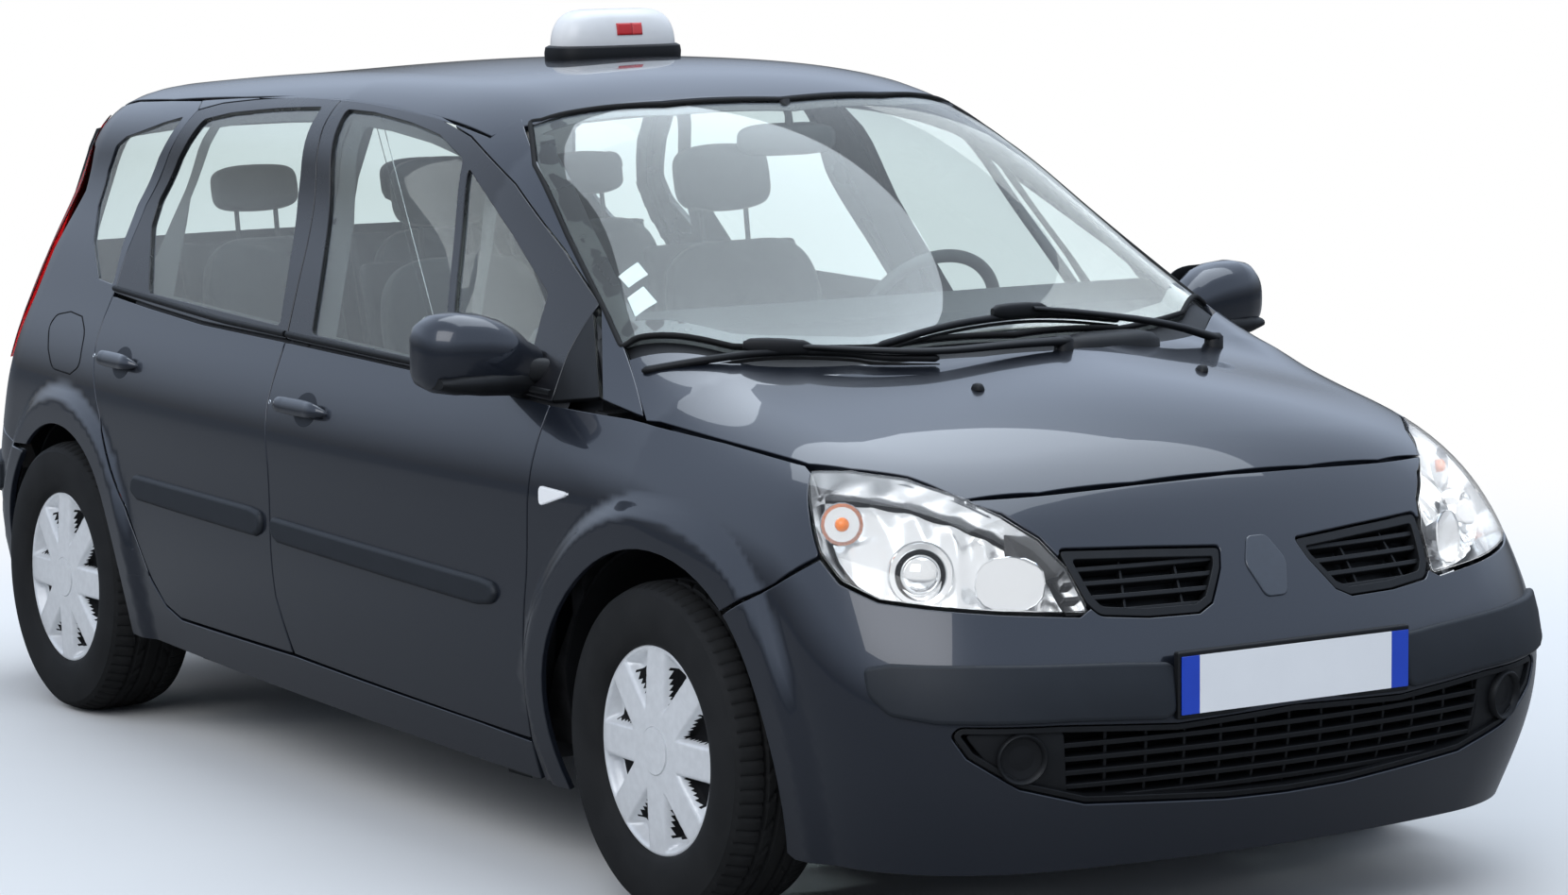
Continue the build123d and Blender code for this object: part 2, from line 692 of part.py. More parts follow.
with BuildPart() as rear_glass:
    add(glass_wall.part)
    add(centre_prism(rear_light_outline, -3700, -2700, -fit), mode=Mode.INTERSECT)
keep(rear_glass.part, "tailgate_glass")

# ---------------------------------------------------------------- wheels
spoke_count = 8
hub_bore = 30.0
hub_fit = 0.05


def turned(profile, centre):
    """A ring turned about the wheel's own axle, which runs along Y."""
    x, y, z = centre
    with BuildPart() as ring:
        with BuildSketch(Plane.XY.move(Location((x, y, z)))):
            with BuildLine():
                Polyline(*profile, close=True)
            make_face()
        revolve(axis=Axis((x, y, z), (0, 1, 0)))
    return ring.part


def tyre(centre):
    """One tyre: square shoulders, bulged walls and a bead seat on the rim."""
    half = tyre_width / 2
    profile = (
        (rim_radius + fit, -rim_width / 2 + 6), (rim_radius + 14, -half + 12), (rim_radius + 45, -half),
        (tyre_radius - 42, -half + 2), (tyre_radius - 14, -half + 16), (tyre_radius - 2, -half + 34),
        (tyre_radius, 0), (tyre_radius - 2, half - 34), (tyre_radius - 14, half - 16), (tyre_radius - 42, half - 2),
        (rim_radius + 45, half), (rim_radius + 14, half - 12), (rim_radius + fit, rim_width / 2 - 6),
    )
    return turned(profile, centre)


def wheel(centre, side):
    """Steel wheel with its eight-spoke cover: rim barrel, hub disc and slots between the spokes."""
    x, y, z = centre
    face = side * 88
    rim = turned(
        (
            (rim_radius - 16, -rim_width / 2), (rim_radius, -rim_width / 2), (rim_radius, rim_width / 2),
            (rim_radius - 16, rim_width / 2),
        ),
        centre,
    )
    disc = turned(
        ((hub_bore, face - side * 16), (hub_bore, face), (rim_radius - 16, face), (rim_radius - 16, face - side * 16)),
        centre,
    )
    hub = turned(
        ((hub_bore, side * 10), (hub_bore, face - side * 16), (82, face - side * 16), (70, side * 10)), centre
    )
    cap = turned(((0, face - side * 6), (0, face), (hub_bore + 1, face), (hub_bore + 1, face - side * 6)), centre)
    with BuildPart() as whole:
        for ring in (rim, disc, hub, cap):
            add(ring)
        with BuildSketch(Plane((x, y + face, z), x_dir=(1, 0, 0), z_dir=(0, -1, 0))):
            with PolarLocations(138, spoke_count, start_angle=360 / spoke_count / 2):
                Trapezoid(44, 64, 90 - 14, rotation=-90)
        extrude(amount=30, both=True, mode=Mode.SUBTRACT)
    return whole.part


wheel_places = {
    "front_right": (front_axle_x, -front_track / 2, hub_z),
    "front_left": (front_axle_x, front_track / 2, hub_z),
    "rear_right": (rear_axle_x, -rear_track / 2, hub_z),
    "rear_left": (rear_axle_x, rear_track / 2, hub_z),
}
for name, centre in wheel_places.items():
    keep(tyre(centre), "tyre_" + name)
    keep(wheel(centre, 1 if centre[1] > 0 else -1), "wheel_" + name)


kingpin_y = 615.0


def axle_stack(side, stations, x, z):
    """Coaxial cylinders along Y on one side, from a table of radius, near offset and far offset."""
    with BuildPart() as stack:
        for radius, near, far in stations:
            with Locations(Location((x, side * near, z), (-90 * side, 0, 0))):
                Cylinder(radius, far - near, align=(Align.CENTER, Align.CENTER, Align.MIN))
    return stack.part


def knuckle(side):
    """Front upright: stub axle in the wheel's bore, brake disc, and the strut on the kingpin axis."""
    stations = (
        # radius, near offset, far offset
        (60.0, 600.0, 700.0),
        (130.0, 700.0, 722.0),
        (50.0, 722.0, front_track / 2 + 10 - seat_gap),
        (hub_bore - hub_fit, 722.0, front_track / 2 + 81),
    )
    with BuildPart() as upright:
        add(axle_stack(side, stations, front_axle_x, hub_z))
        with Locations((front_axle_x, side * kingpin_y, arm_top + seat_gap)):
            Cylinder(26, 330, align=(Align.CENTER, Align.CENTER, Align.MIN))
    return upright.part


arm_top = 192.0
for side, name in ((-1, "right"), (1, "left")):
    keep(knuckle(side), "knuckle_" + name)

# ---------------------------------------------------------------- under the body
floor_low = 225.0
floor_top = 262.0
boot_low = 360.0
boot_top = 400.0
longeron_y = 416.0
longeron_z = (350.0, 440.0)
engine_low = 300.0


def block(low, high):
    """Centre and sizes of the box between two corners given from the front axle."""
    centre = tuple((a + b) / 2 for a, b in zip(low, high))
    size = tuple(b - a for a, b in zip(low, high))
    return (front_axle_x + centre[0], centre[1], centre[2]), size


with BuildPart() as subframe:
    boxes = (
        # low corner, high corner
        ((-210, -350, 165), (210, 350, 225)),
        ((-30, -300, 225), (30, 300, engine_low - seat_gap)),
        ((150, -300, 225), (190, 300, engine_low - seat_gap)),
    )
    for low, high in boxes:
        centre, size = block(low, high)
        with Locations(centre):
            Box(*size)
    for side in (-1, 1):
        with Locations((front_axle_x, side * 495, arm_top - 18)):
            Box(110, 300, 36)
        with Locations((front_axle_x, side * (longeron_y - 40), (225 + longeron_z[0]) / 2 - 20)):
            Box(120, 120, 60)
        with Locations((front_axle_x, side * longeron_y, (205 + longeron_z[0] - seat_gap) / 2)):
            Box(70, 30, longeron_z[0] - seat_gap - 205)
keep(subframe.part, "front_subframe")

with BuildPart() as rear_axle:
    boxes = (
        # low corner and high corner, from the rear axle's station
        ((145, -540, hub_z - 65), (255, 540, hub_z + 25)),
        ((0, -540, hub_z - 45), (200, -485, hub_z + 35)),
        ((0, 485, hub_z - 45), (200, 540, hub_z + 35)),
        ((200, -430, hub_z - 45), (395, -380, hub_z + 25)),
        ((200, 380, hub_z - 45), (395, 430, hub_z + 25)),
        ((340, -430, hub_z), (390, -380, boot_low - seat_gap)),
        ((340, 380, hub_z), (390, 430, boot_low - seat_gap)),
    )
    for low, high in boxes:
        centre, size = block(low, high)
        with Locations((centre[0] - wheelbase, centre[1], centre[2])):
            Box(*size)
    stations = (
        # radius, near offset, far offset
        (110.0, 485.0, rear_track / 2 + 10 - seat_gap),
        (hub_bore - hub_fit, 485.0, rear_track / 2 + 81),
    )
    for side in (-1, 1):
        add(axle_stack(side, stations, rear_axle_x, hub_z))
keep(rear_axle.part, "rear_axle")

# ---------------------------------------------------------------- floor, bulkhead and front frame
inner_fit_form = body_block(panel_wall + seat_gap)
trim_form = body_block(panel_wall + seat_gap + 20)
floor_ring = (
    (-470.0, floor_low), (-470.0, floor_top), (-2150.0, floor_top), (-2250.0, boot_top), (-3600.0, boot_top),
    (-3600.0, boot_low), (-2270.0, boot_low), (-2170.0, floor_low),
)
with BuildPart() as floor_pan:
    add(side_region(floor_ring))
    add(inner_fit_form, mode=Mode.INTERSECT)
    add(along_y(rear_arch_radius + 14, arch_inner_y, 1000, rear_axle_x, hub_z), mode=Mode.SUBTRACT)
keep(floor_pan.part, "floor_pan")

with BuildPart() as liners:
    for station_x, radius in ((front_axle_x, arch_radius), (rear_axle_x, rear_arch_radius)):
        add(along_y(radius + liner_clearance + liner_thickness, arch_inner_y + 5, 1000, station_x, hub_z))
    for station_x, radius in ((front_axle_x, arch_radius), (rear_axle_x, rear_arch_radius)):
        add(along_y(radius + liner_clearance, arch_inner_y - 10, 1010, station_x, hub_z), mode=Mode.SUBTRACT)
    add(inner_fit_form, mode=Mode.INTERSECT)
    with Locations((0, 0, 1000)):
        Box(2 * overall_length, 2000, 1440, mode=Mode.INTERSECT)
keep(liners.part, "wheel_liners")

dash_front = -340.3
bulkhead_ring = (
    (-300.0, 940.0), (-300.0, 520.0), (-400.0, floor_top + fit), (-500.0, floor_top + fit), (-500.0, 290.0),
    (dash_front + fit, 530.0), (dash_front + fit, 940.0),
)
radiator_z = (250.0, 700.0)
with BuildPart() as front_structure:
    add(side_region(bulkhead_ring))
    for side in (-1, 1):
        low = (-380, side * longeron_y - 20, longeron_z[0])
        high = (690, side * longeron_y + 20, longeron_z[1])
        centre, size = block(low, high)
        with Locations(centre):
            Box(*size)
    for low, high in (((640, -400, radiator_z[0]), (690, 400, radiator_z[1])), ((600, -470, 700), (700, 470, 860))):
        centre, size = block(low, high)
        with Locations(centre):
            Box(*size)
    add(inner_fit_form, mode=Mode.INTERSECT)
    add(along_y(arch_radius + liner_clearance + liner_thickness + fit, arch_inner_y, 1000, front_axle_x, hub_z),
        mode=Mode.SUBTRACT)
keep(front_structure.part, "front_structure")

with BuildPart() as engine:
    centre, size = block((-60, -320, engine_low), (460, 320, 780))
    with Locations(centre):
        Box(*size)
keep(engine.part, "engine_block")

with BuildPart() as boot_frame:
    add(inner_fit_form)
    add(trim_form, mode=Mode.SUBTRACT)
    add(centre_prism(tailgate_outline, -3700, -2700, 30), mode=Mode.INTERSECT)
    add(centre_prism(tailgate_outline, -3750, -2650, -38), mode=Mode.SUBTRACT)
keep(boot_frame.part, "boot_frame")

# ---------------------------------------------------------------- exhaust
pipe_z = 190.0
pipe_radius = 24.0
pipe_y = -250.0
with BuildPart() as exhaust:
    with BuildLine() as route:
        x0 = front_axle_x
        FilletPolyline(
            (x0 - 60 - seat_gap, pipe_y, 430), (x0 - 250, pipe_y, 430), (x0 - 250, pipe_y, pipe_z),
            (x0 - 2950, pipe_y, pipe_z), (x0 - 3000, pipe_y, 285), (x0 - 3060, pipe_y, 285),
            radius=30,
        )
    with BuildSketch(Plane(route.line @ 0, z_dir=route.line % 0)):
        Circle(pipe_radius)
    sweep()
    with BuildSketch(Plane.YZ.offset(x0 - 3290)):
        with Locations((pipe_y, 285)):
            RectangleRounded(220, 110, 40)
    extrude(amount=260)
    for x, low, high in ((-560, pipe_z, floor_low), (-1900, pipe_z, floor_low), (-3160, 330, boot_low)):
        centre, size = block((x - 15, pipe_y - 10, low), (x + 15, pipe_y + 10, high - seat_gap))
        with Locations(centre):
            Box(*size)
keep(exhaust.part, "exhaust")

# ---------------------------------------------------------------- dashboard and steering wheel
dash_outline = (
    (dash_front, 700.0), (dash_front, 985.0), (-420.0, 1045.0), (-560.0, 1075.0), (-640.0, 1050.0), (-690.0, 960.0),
    (-640.0, 860.0), (-600.0, 740.0), (-460.0, 700.0),
)
wheel_centre = (front_axle_x - 840, 340.0, 975.0)
column_tilt = 27.0
steering_plane = Plane(
    wheel_centre, x_dir=(0, 1, 0), z_dir=(cos(radians(column_tilt)), 0, -sin(radians(column_tilt)))
)
shaft_radius = 16.0
with BuildPart() as dashboard:
    add(side_region(dash_outline))
    add(body_block(door_wall + 6), mode=Mode.INTERSECT)
    with BuildSketch(steering_plane.offset(70)):
        Circle(42)
    extrude(amount=190)
    with BuildSketch(steering_plane.offset(60)):
        Circle(shaft_radius + hub_fit)
    extrude(amount=145, mode=Mode.SUBTRACT)
keep(dashboard.part, "dashboard")

with BuildPart() as steering_wheel:
    with BuildSketch(steering_plane.offset(-12)):
        Circle(62)
    extrude(amount=76)
    with BuildSketch(steering_plane.offset(60)):
        Circle(shaft_radius)
    extrude(amount=140)
    with BuildSketch(steering_plane):
        with PolarLocations(100, 3, start_angle=0):
            Rectangle(150, 34)
    extrude(amount=10, both=True)
    with Locations(steering_plane.location):
        Torus(172, 14)
keep(steering_wheel.part, "steering_wheel")

# ---------------------------------------------------------------- seats
front_seat_outline = (
    (-990.0, 450.0), (-990.0, 540.0), (-1060.0, 572.0), (-1400.0, 545.0), (-1440.0, 590.0), (-1590.0, 1120.0),
    (-1640.0, 1140.0), (-1690.0, 1115.0), (-1595.0, 620.0), (-1530.0, 450.0),
)
front_headrest = ((-1625.0, 1165.0), (-1660.0, 1330.0), (-1720.0, 1330.0), (-1720.0, 1165.0))
rear_seat_outline = (
    (-1790.0, 450.0), (-1790.0, 540.0), (-1850.0, 572.0), (-2180.0, 545.0), (-2220.0, 590.0), (-2370.0, 1120.0),
    (-2420.0, 1140.0), (-2460.0, 1110.0), (-2350.0, 600.0), (-2300.0, 470.0), (-2240.0, 450.0),
)
rear_headrest = ((-2405.0, 1165.0), (-2430.0, 1280.0), (-2490.0, 1280.0), (-2490.0, 1165.0))


def seat(outline, headrest, offset_y, width, rest_width, base):
    """One seat: cushion and back in one shell, a headrest on its posts, and the base it stands on."""
    (base_front, base_rear), post_x = base, (headrest[0][0] + headrest[-1][0]) / 2
    side_sketch = Plane((front_axle_x, offset_y, 0), x_dir=(1, 0, 0), z_dir=(0, -1, 0))
    with BuildPart() as one:
        with BuildSketch(side_sketch):
            with BuildLine():
                Polyline(*outline, close=True)
            make_face()
        extrude(amount=width / 2, both=True)
        fillet(one.edges().filter_by(Axis.Y).sort_by(Axis.X)[-2:], 25)
        with BuildSketch(side_sketch):
            with BuildLine():
                Polyline(*headrest, close=True)
            make_face()
        extrude(amount=rest_width / 2, both=True)
        with Locations(*[(front_axle_x + post_x, offset_y + reach, 1140) for reach in (-60, 60)]):
            Cylinder(7, 90)
        centre, size = block((base_rear, offset_y - width / 2 + 40, floor_top + fit),
                             (base_front, offset_y + width / 2 - 40, 460))
        with Locations(centre):
            Box(*size)
    return one.part


with BuildPart() as front_seats:
    for offset_y in (-360, 360):
        add(seat(front_seat_outline, front_headrest, offset_y, 490, 260, (-1060, -1450)))
keep(front_seats.part, "front_seats")

with BuildPart() as rear_seats:
    for offset_y in (-440, 0, 440):
        add(seat(rear_seat_outline, rear_headrest, offset_y, 420, 230, (-1830, -2130)))
keep(rear_seats.part, "rear_seats")

# ---------------------------------------------------------------- roof sign and door mirrors
sign_station = -1555.0
sign_base_size = (140.0, 310.0, 30.0)
sign_dome_size = (118.0, 286.0, 92.0)
roof_seat_form = outer_form.moved(Location((0, 0, seat_gap)))
with BuildPart() as roof_sign:
    with BuildSketch(Plane.XY.offset(roof_height - 40)):
        with Locations((front_axle_x + sign_station, 0)):
            RectangleRounded(sign_base_size[0], sign_base_size[1], 50)
    extrude(amount=40 + sign_base_size[2])
    add(roof_seat_form, mode=Mode.SUBTRACT)
    with BuildSketch(Plane.XY.offset(roof_height + sign_base_size[2])):
        with Locations((front_axle_x + sign_station, 0)):
            RectangleRounded(sign_dome_size[0], sign_dome_size[1], 45)
    extrude(amount=sign_dome_size[2], taper=8)
    fillet(roof_sign.edges().group_by(Axis.Z)[-1], 20)
keep(roof_sign.part, "roof_sign")

mirror_low = (-645.0, 872.0, 955.0)
mirror_high = (-510.0, 1020.0, 1090.0)
skin_seat_form = body_block(-seat_gap)


def mirror_housing(side):
    """Door mirror: a rounded housing on a short arm that seats on the door's skin."""
    ends = sorted((side * mirror_low[1], side * mirror_high[1]))
    arm_ends = sorted((side * 800, side * 885))
    with BuildPart() as housing:
        centre, size = block((mirror_low[0], ends[0], mirror_low[2]), (mirror_high[0], ends[1], mirror_high[2]))
        with Locations(centre):
            Box(*size)
        fillet(housing.edges(), 34)
        centre, size = block((-620, arm_ends[0], 950), (-540, arm_ends[1], 985))
        with Locations(centre):
            Box(*size)
        add(skin_seat_form, mode=Mode.SUBTRACT)
    return housing.part


for side, name in ((-1, "right"), (1, "left")):
    keep(mirror_housing(side), "mirror_" + name)
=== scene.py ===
import math

import bmesh
import bpy
import numpy as np
from mathutils import Euler, Matrix, Vector
from mathutils.geometry import delaunay_2d_cdt


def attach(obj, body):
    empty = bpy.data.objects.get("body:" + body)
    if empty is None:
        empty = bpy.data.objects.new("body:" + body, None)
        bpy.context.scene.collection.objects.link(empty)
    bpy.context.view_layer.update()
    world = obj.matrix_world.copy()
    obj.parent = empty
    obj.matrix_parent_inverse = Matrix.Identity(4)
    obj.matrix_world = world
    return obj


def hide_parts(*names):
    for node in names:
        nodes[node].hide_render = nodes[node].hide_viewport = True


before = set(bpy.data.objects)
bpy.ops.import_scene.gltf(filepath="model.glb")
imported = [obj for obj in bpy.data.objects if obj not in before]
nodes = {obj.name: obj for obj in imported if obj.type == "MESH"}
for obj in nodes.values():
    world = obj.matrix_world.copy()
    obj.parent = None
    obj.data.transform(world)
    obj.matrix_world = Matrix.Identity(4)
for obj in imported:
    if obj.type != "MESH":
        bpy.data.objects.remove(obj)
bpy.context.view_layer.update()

# All places below are in metres from the front axle's station; make_mesh adds AXLE.
AXLE = 1.2895        # station of the front axle in the frame
HUB = 0.317          # height of the wheels' centres
WHEELBASE = 2.685
TRACK = 0.753        # offset of the wheels' centres
ROOF_Y = 0.585       # offset of the roof panel's side edge
STRETCH = 0.85       # metres for each radian in the flat map of a Polar panel
SIDES = ((-1, "right"), (1, "left"))

# ------------------------------------------------------------ body surface
# height, half width, nose, tail
LEVELS = np.array([
    [0.05, 0.7752, 0.7392, -3.3192], [0.20, 0.8294, 0.7910, -3.3642], [0.35, 0.8672, 0.8395, -3.4005],
    [0.50, 0.8828, 0.8385, -3.4094], [0.65, 0.879, 0.7965, -3.3824], [0.80, 0.8709, 0.7451, -3.3267],
    [0.95, 0.8169, 0.7007, -3.2989], [1.10, 0.7542, 0.6896, -3.2527], [1.25, 0.6945, 0.6838, -3.1977],
    [1.40, 0.6601, 0.6734, -3.134], [1.55, 0.5899, 0.6575, -3.0324]]).T
# station, height of the middle line
CROWN = np.array([
    [-3.6, 1.3575], [-3.05, 1.4293], [-2.5, 1.4851], [-1.95, 1.5259], [-1.4, 1.5411], [-0.90, 1.4851],
    [-0.50, 1.2865], [-0.10, 1.0667], [0.30, 0.9786], [0.60, 0.8708], [0.82, 0.7168], [1.1, 0.489]]).T
# station, second and fourth order fall across the car
CURVES = np.array([[-3.1, 0.1305, -0.4221], [-1.7, 0.3342, -0.1984], [-0.93, 0.3001, 0.4553],
                   [-0.1, 0.72, -0.4436], [0.6, 0.3493, 0.1369]]).T
FLARES = ((0.0, 0.484), (-WHEELBASE, 0.460))    # station, outer radius of the band round each arch
FLARE_OUT, FLARE_RUN = 0.021, 0.050
WIDEST = -1.30                                  # station where the body is widest
SIDE_BOW, NOSE_BOW, TAIL_BOW = 44.0, 4.944, 5.183      # squared distance for each metre of fall
NOSE_CORNER, TAIL_CORNER, ROOF_CORNER, LOW_CORNER = 0.2664, 0.2045, 0.1803, 0.15
LOW_AT, LOW_RISE = 0.045, 0.249                 # depth of the lower arch's centre, its height over the middle line


class Cubic:
    """Natural cubic spline."""

    def __init__(self, xs, ys):
        n = len(xs)
        h = np.diff(xs)
        a = np.zeros((n, n))
        b = np.zeros(n)
        a[0, 0] = a[-1, -1] = 1
        for i in range(1, n - 1):
            a[i, i - 1], a[i, i], a[i, i + 1] = h[i - 1], 2 * (h[i - 1] + h[i]), h[i]
            b[i] = 6 * ((ys[i + 1] - ys[i]) / h[i] - (ys[i] - ys[i - 1]) / h[i - 1])
        self.m = np.linalg.solve(a, b)
        self.x, self.y, self.h = xs, ys, h

    def __call__(self, t, slope=False):
        i = np.clip(np.searchsorted(self.x, t) - 1, 0, len(self.h) - 1)
        h = self.h[i]
        a = (self.x[i + 1] - t) / h
        b = (t - self.x[i]) / h
        if slope:
            return ((self.y[i + 1] - self.y[i]) / h
                    + ((1 - 3 * a * a) * self.m[i] + (3 * b * b - 1) * self.m[i + 1]) * h / 6)
        return (a * self.y[i] + b * self.y[i + 1]
                + ((a ** 3 - a) * self.m[i] + (b ** 3 - b) * self.m[i + 1]) * h * h / 6)


half_at, nose_at, tail_at = (Cubic(LEVELS[0], LEVELS[i]) for i in (1, 2, 3))
crown_at = Cubic(CROWN[0], CROWN[1])


def smooth_max(a, b, k):
    h = np.maximum(k - np.abs(a - b), 0) / k
    return np.maximum(a, b) + h * h * k / 4


def step(t):
    t = np.clip(t, 0, 1)
    return t * t * (3 - 2 * t)


def body(p):
    """Below zero inside the body."""
    x, y, z = p[..., 0], p[..., 1], p[..., 2]
    off = np.abs(y)
    level = np.clip(z, 0.0, 1.7)
    flare = 0
    for cx, edge in FLARES:
        flare = flare + FLARE_OUT * step((edge - np.hypot(x - cx, z - HUB)) / FLARE_RUN)
    side = off - (half_at(level) - (x - WIDEST) ** 2 / SIDE_BOW + flare)
    front = x + y * y / NOSE_BOW - nose_at(level)
    rear = -x + y * y / TAIL_BOW + tail_at(level)
    round_car = smooth_max(smooth_max(side, front, NOSE_CORNER), rear, TAIL_CORNER)
    xx = np.clip(x, -3.6, 1.1)
    crown = crown_at(xx)
    s = 1 / np.sqrt(1 + np.clip(crown_at(xx, True), -2, 2) ** 2)
    fall2, fall4 = np.interp(xx, CURVES[0], CURVES[1]), np.interp(xx, CURVES[0], CURVES[2])
    top = (z - (crown - fall2 * off ** 2 / 2 - fall4 * off ** 4)) * s
    low = (np.hypot(y, z + LOW_AT) - (crown + LOW_RISE + LOW_AT)) * s
    return smooth_max(round_car, smooth_max(top, low, LOW_CORNER), ROOF_CORNER)


def root(make, lo, hi):
    """Where the body's surface lies along a family of lines, from inside lo to outside hi."""
    lo, hi = np.array(lo, float), np.array(hi, float)
    for _ in range(34):
        mid = (lo + hi) / 2
        inside = body(make(mid)) < 0
        lo = np.where(inside, mid, lo)
        hi = np.where(inside, hi, mid)
    return make((lo + hi) / 2)


def normal(p):
    g = np.stack([body(p + d) - body(p - d) for d in (np.eye(3) * 0.0015)], -1)
    return g / np.linalg.norm(g, axis=-1, keepdims=True)


class Map:
    """A flat map of the body's surface: point() gives the space point of a map point at distance t, and
    down() the map point of a space point."""

    stretch, reach = 1.0, (0.15, 1.15)

    def up(self, q):
        q = np.asarray(q, float)
        lo, hi = self.reach
        return root(lambda t: self.point(q[..., 0], q[..., 1], t), np.full(q.shape[:-1], lo), np.full(q.shape[:-1], hi))


class Side(Map):
    """Points by station and height on one side."""

    def __init__(self, sgn):
        self.sgn = sgn

    def point(self, x, z, t):
        return np.stack([x, self.sgn * t, z], -1)


class Top(Map):
    """Points by station and offset, from above."""

    reach = (0.60, 1.75)

    def point(self, x, y, t):
        return np.stack([x, y, t], -1)


class Polar(Map):
    """Points by angle about an upright line and height, at the nose or the tail."""

    stretch, reach = STRETCH, (0.05, 1.9)

    def __init__(self, cx, way):
        self.cx, self.way = cx, way

    def point(self, angle, z, t):
        return np.stack([self.cx + np.cos(angle) * self.way * t, np.sin(angle) * t, z], -1)

    def down(self, p):
        return np.stack([np.arctan2(p[..., 1], (p[..., 0] - self.cx) * self.way), p[..., 2]], -1)


class Roll(Map):
    """Points by station and angle about a lengthways line, on one side."""

    reach = (0.02, 1.3)
    Z0, K = 0.80, 0.8

    def __init__(self, sgn):
        self.sgn = sgn

    def point(self, x, angle, t):
        angle = angle / self.K
        return np.stack([x, self.sgn * t * np.cos(angle), self.Z0 + t * np.sin(angle)], -1)

    def down(self, p):
        return np.stack([p[..., 0], self.K * np.arctan2(p[..., 2] - self.Z0, self.sgn * p[..., 1])], -1)


TOP, NOSE, TAIL = Top(), Polar(0.0, 1), Polar(-2.45, -1)
SIDE = {sgn: Side(sgn) for sgn, _ in SIDES}
ROLL = {sgn: Roll(sgn) for sgn, _ in SIDES}


# ------------------------------------------------------------ outlines
def unit(v):
    return v / np.linalg.norm(v)


def units(v):
    return v / (np.linalg.norm(v, axis=1)[:, None] + 1e-12)


def turns(n):
    return np.linspace(0, 2 * math.pi, n, endpoint=False)


def dense(points, gap=0.02, closed=True):
    pts = [np.asarray(p, float) for p in points]
    n = len(pts)
    out = []
    for i in range(n if closed else n - 1):
        a, b = pts[i], pts[(i + 1) % n]
        k = max(1, int(math.ceil(np.linalg.norm(b - a) / gap)))
        out += [a + (b - a) * j / k for j in range(k)]
    if not closed:
        out.append(pts[-1])
    return np.array(out)


def smooth(points):
    """An open run of points with its corners cut twice, ends kept."""
    p = np.array(points, float)
    for _ in range(2):
        q = [p[0]]
        for a, b in zip(p[:-1], p[1:]):
            q += [a * 0.75 + b * 0.25, a * 0.25 + b * 0.75]
        q.append(p[-1])
        p = np.array(q)
    return p


def round_ring(points, radius=0.012, steps=3):
    """A closed outline with small rounded corners."""
    p = np.array(points, float)
    n = len(p)
    out = []
    for i in range(n):
        a, b, c = p[i - 1], p[i], p[(i + 1) % n]
        u, v = a - b, c - b
        lu, lv = np.linalg.norm(u), np.linalg.norm(v)
        if lu < 1e-9 or lv < 1e-9:
            continue
        turn = abs(math.atan2(u[0] * v[1] - u[1] * v[0], float(u @ v)))
        if turn > 2.6:
            out.append(b)
            continue
        r = min(radius, lu * 0.45, lv * 0.45)
        s, e = b + u / lu * r, b + v / lv * r
        for k in range(steps + 1):
            t = k / steps
            out.append(s * (1 - t) ** 2 + 2 * b * t * (1 - t) + e * t * t)
    return np.array(out)


def area(p):
    x, y = p[:, 0], p[:, 1]
    return 0.5 * np.sum(x * np.roll(y, -1) - np.roll(x, -1) * y)


def inset(p, d):
    """A closed outline moved inwards by d (outwards if negative)."""
    p = np.asarray(p, float)
    if area(p) < 0:
        p = p[::-1]
    a, b = units(p - np.roll(p, 1, 0)), units(np.roll(p, -1, 0) - p)
    na, nb = np.stack([-a[:, 1], a[:, 0]], 1), np.stack([-b[:, 1], b[:, 0]], 1)
    m = units(na + nb)
    k = 1 / np.clip(np.sum(m * na, 1), 0.5, 1)
    return p + m * (d * k)[:, None]


def grow(ring, d):
    """A Polar outline moved inwards by d metres (outwards if negative)."""
    return inset(ring * [STRETCH, 1], d) / [STRETCH, 1]


def soft(ring, r=0.012, steps=4):
    """A Polar outline with rounded corners."""
    return round_ring(np.asarray(ring) * [STRETCH, 1], r, steps) / [STRETCH, 1]


def flipped(ring, sgn=1):
    """A right side's Polar outline, carried to the left side where sgn is above zero."""
    return ring[::-1] * [-1, 1] if sgn > 0 else ring


def whole(half, flip):
    """A closed outline from one half of it and its mirror image."""
    half = np.asarray(half, float)
    return np.concatenate([half, half[::-1][1:-1] * flip])


def within(q, ring):
    """Which points lie inside a closed outline."""
    x, y = q[:, 0][:, None], q[:, 1][:, None]
    a, b = ring, np.roll(ring, -1, 0)
    ya, yb, xa, xb = a[:, 1][None], b[:, 1][None], a[:, 0][None], b[:, 0][None]
    crosses = (ya > y) != (yb > y)
    xi = xa + (y - ya) * (xb - xa) / np.where(np.abs(yb - ya) < 1e-12, 1e-12, yb - ya)
    return (np.sum(crosses & (x < xi), 1) % 2).astype(bool)


def edge_distance(q, ring):
    a, b = ring, np.roll(ring, -1, 0)
    ab = b - a
    t = np.clip(np.einsum("ijk,jk->ij", q[:, None] - a[None], ab) / (np.sum(ab * ab, 1) + 1e-12), 0, 1)
    return np.min(np.linalg.norm(q[:, None] - (a[None] + t[..., None] * ab[None]), axis=2), 1)


def rect(x0, y0, x1, y1):
    return np.array([(x0, y0), (x1, y0), (x1, y1), (x0, y1)])


def arc(cx, cz, r, a0, a1, n):
    return [(cx + r * math.cos(t), cz + r * math.sin(t)) for t in np.radians(np.linspace(a0, a1, n))]


def oval(centre, a, b, u, v, power=2.0, n=48):
    """A closed superellipse in the plane of u and v."""
    t = turns(n)
    c, s = np.cos(t), np.sin(t)
    x = np.sign(c) * np.abs(c) ** (2 / power) * a
    y = np.sign(s) * np.abs(s) ** (2 / power) * b
    return np.array(centre) + x[:, None] * np.array(u) + y[:, None] * np.array(v)


X, Y, Z = (1, 0, 0), (0, 1, 0), (0, 0, 1)


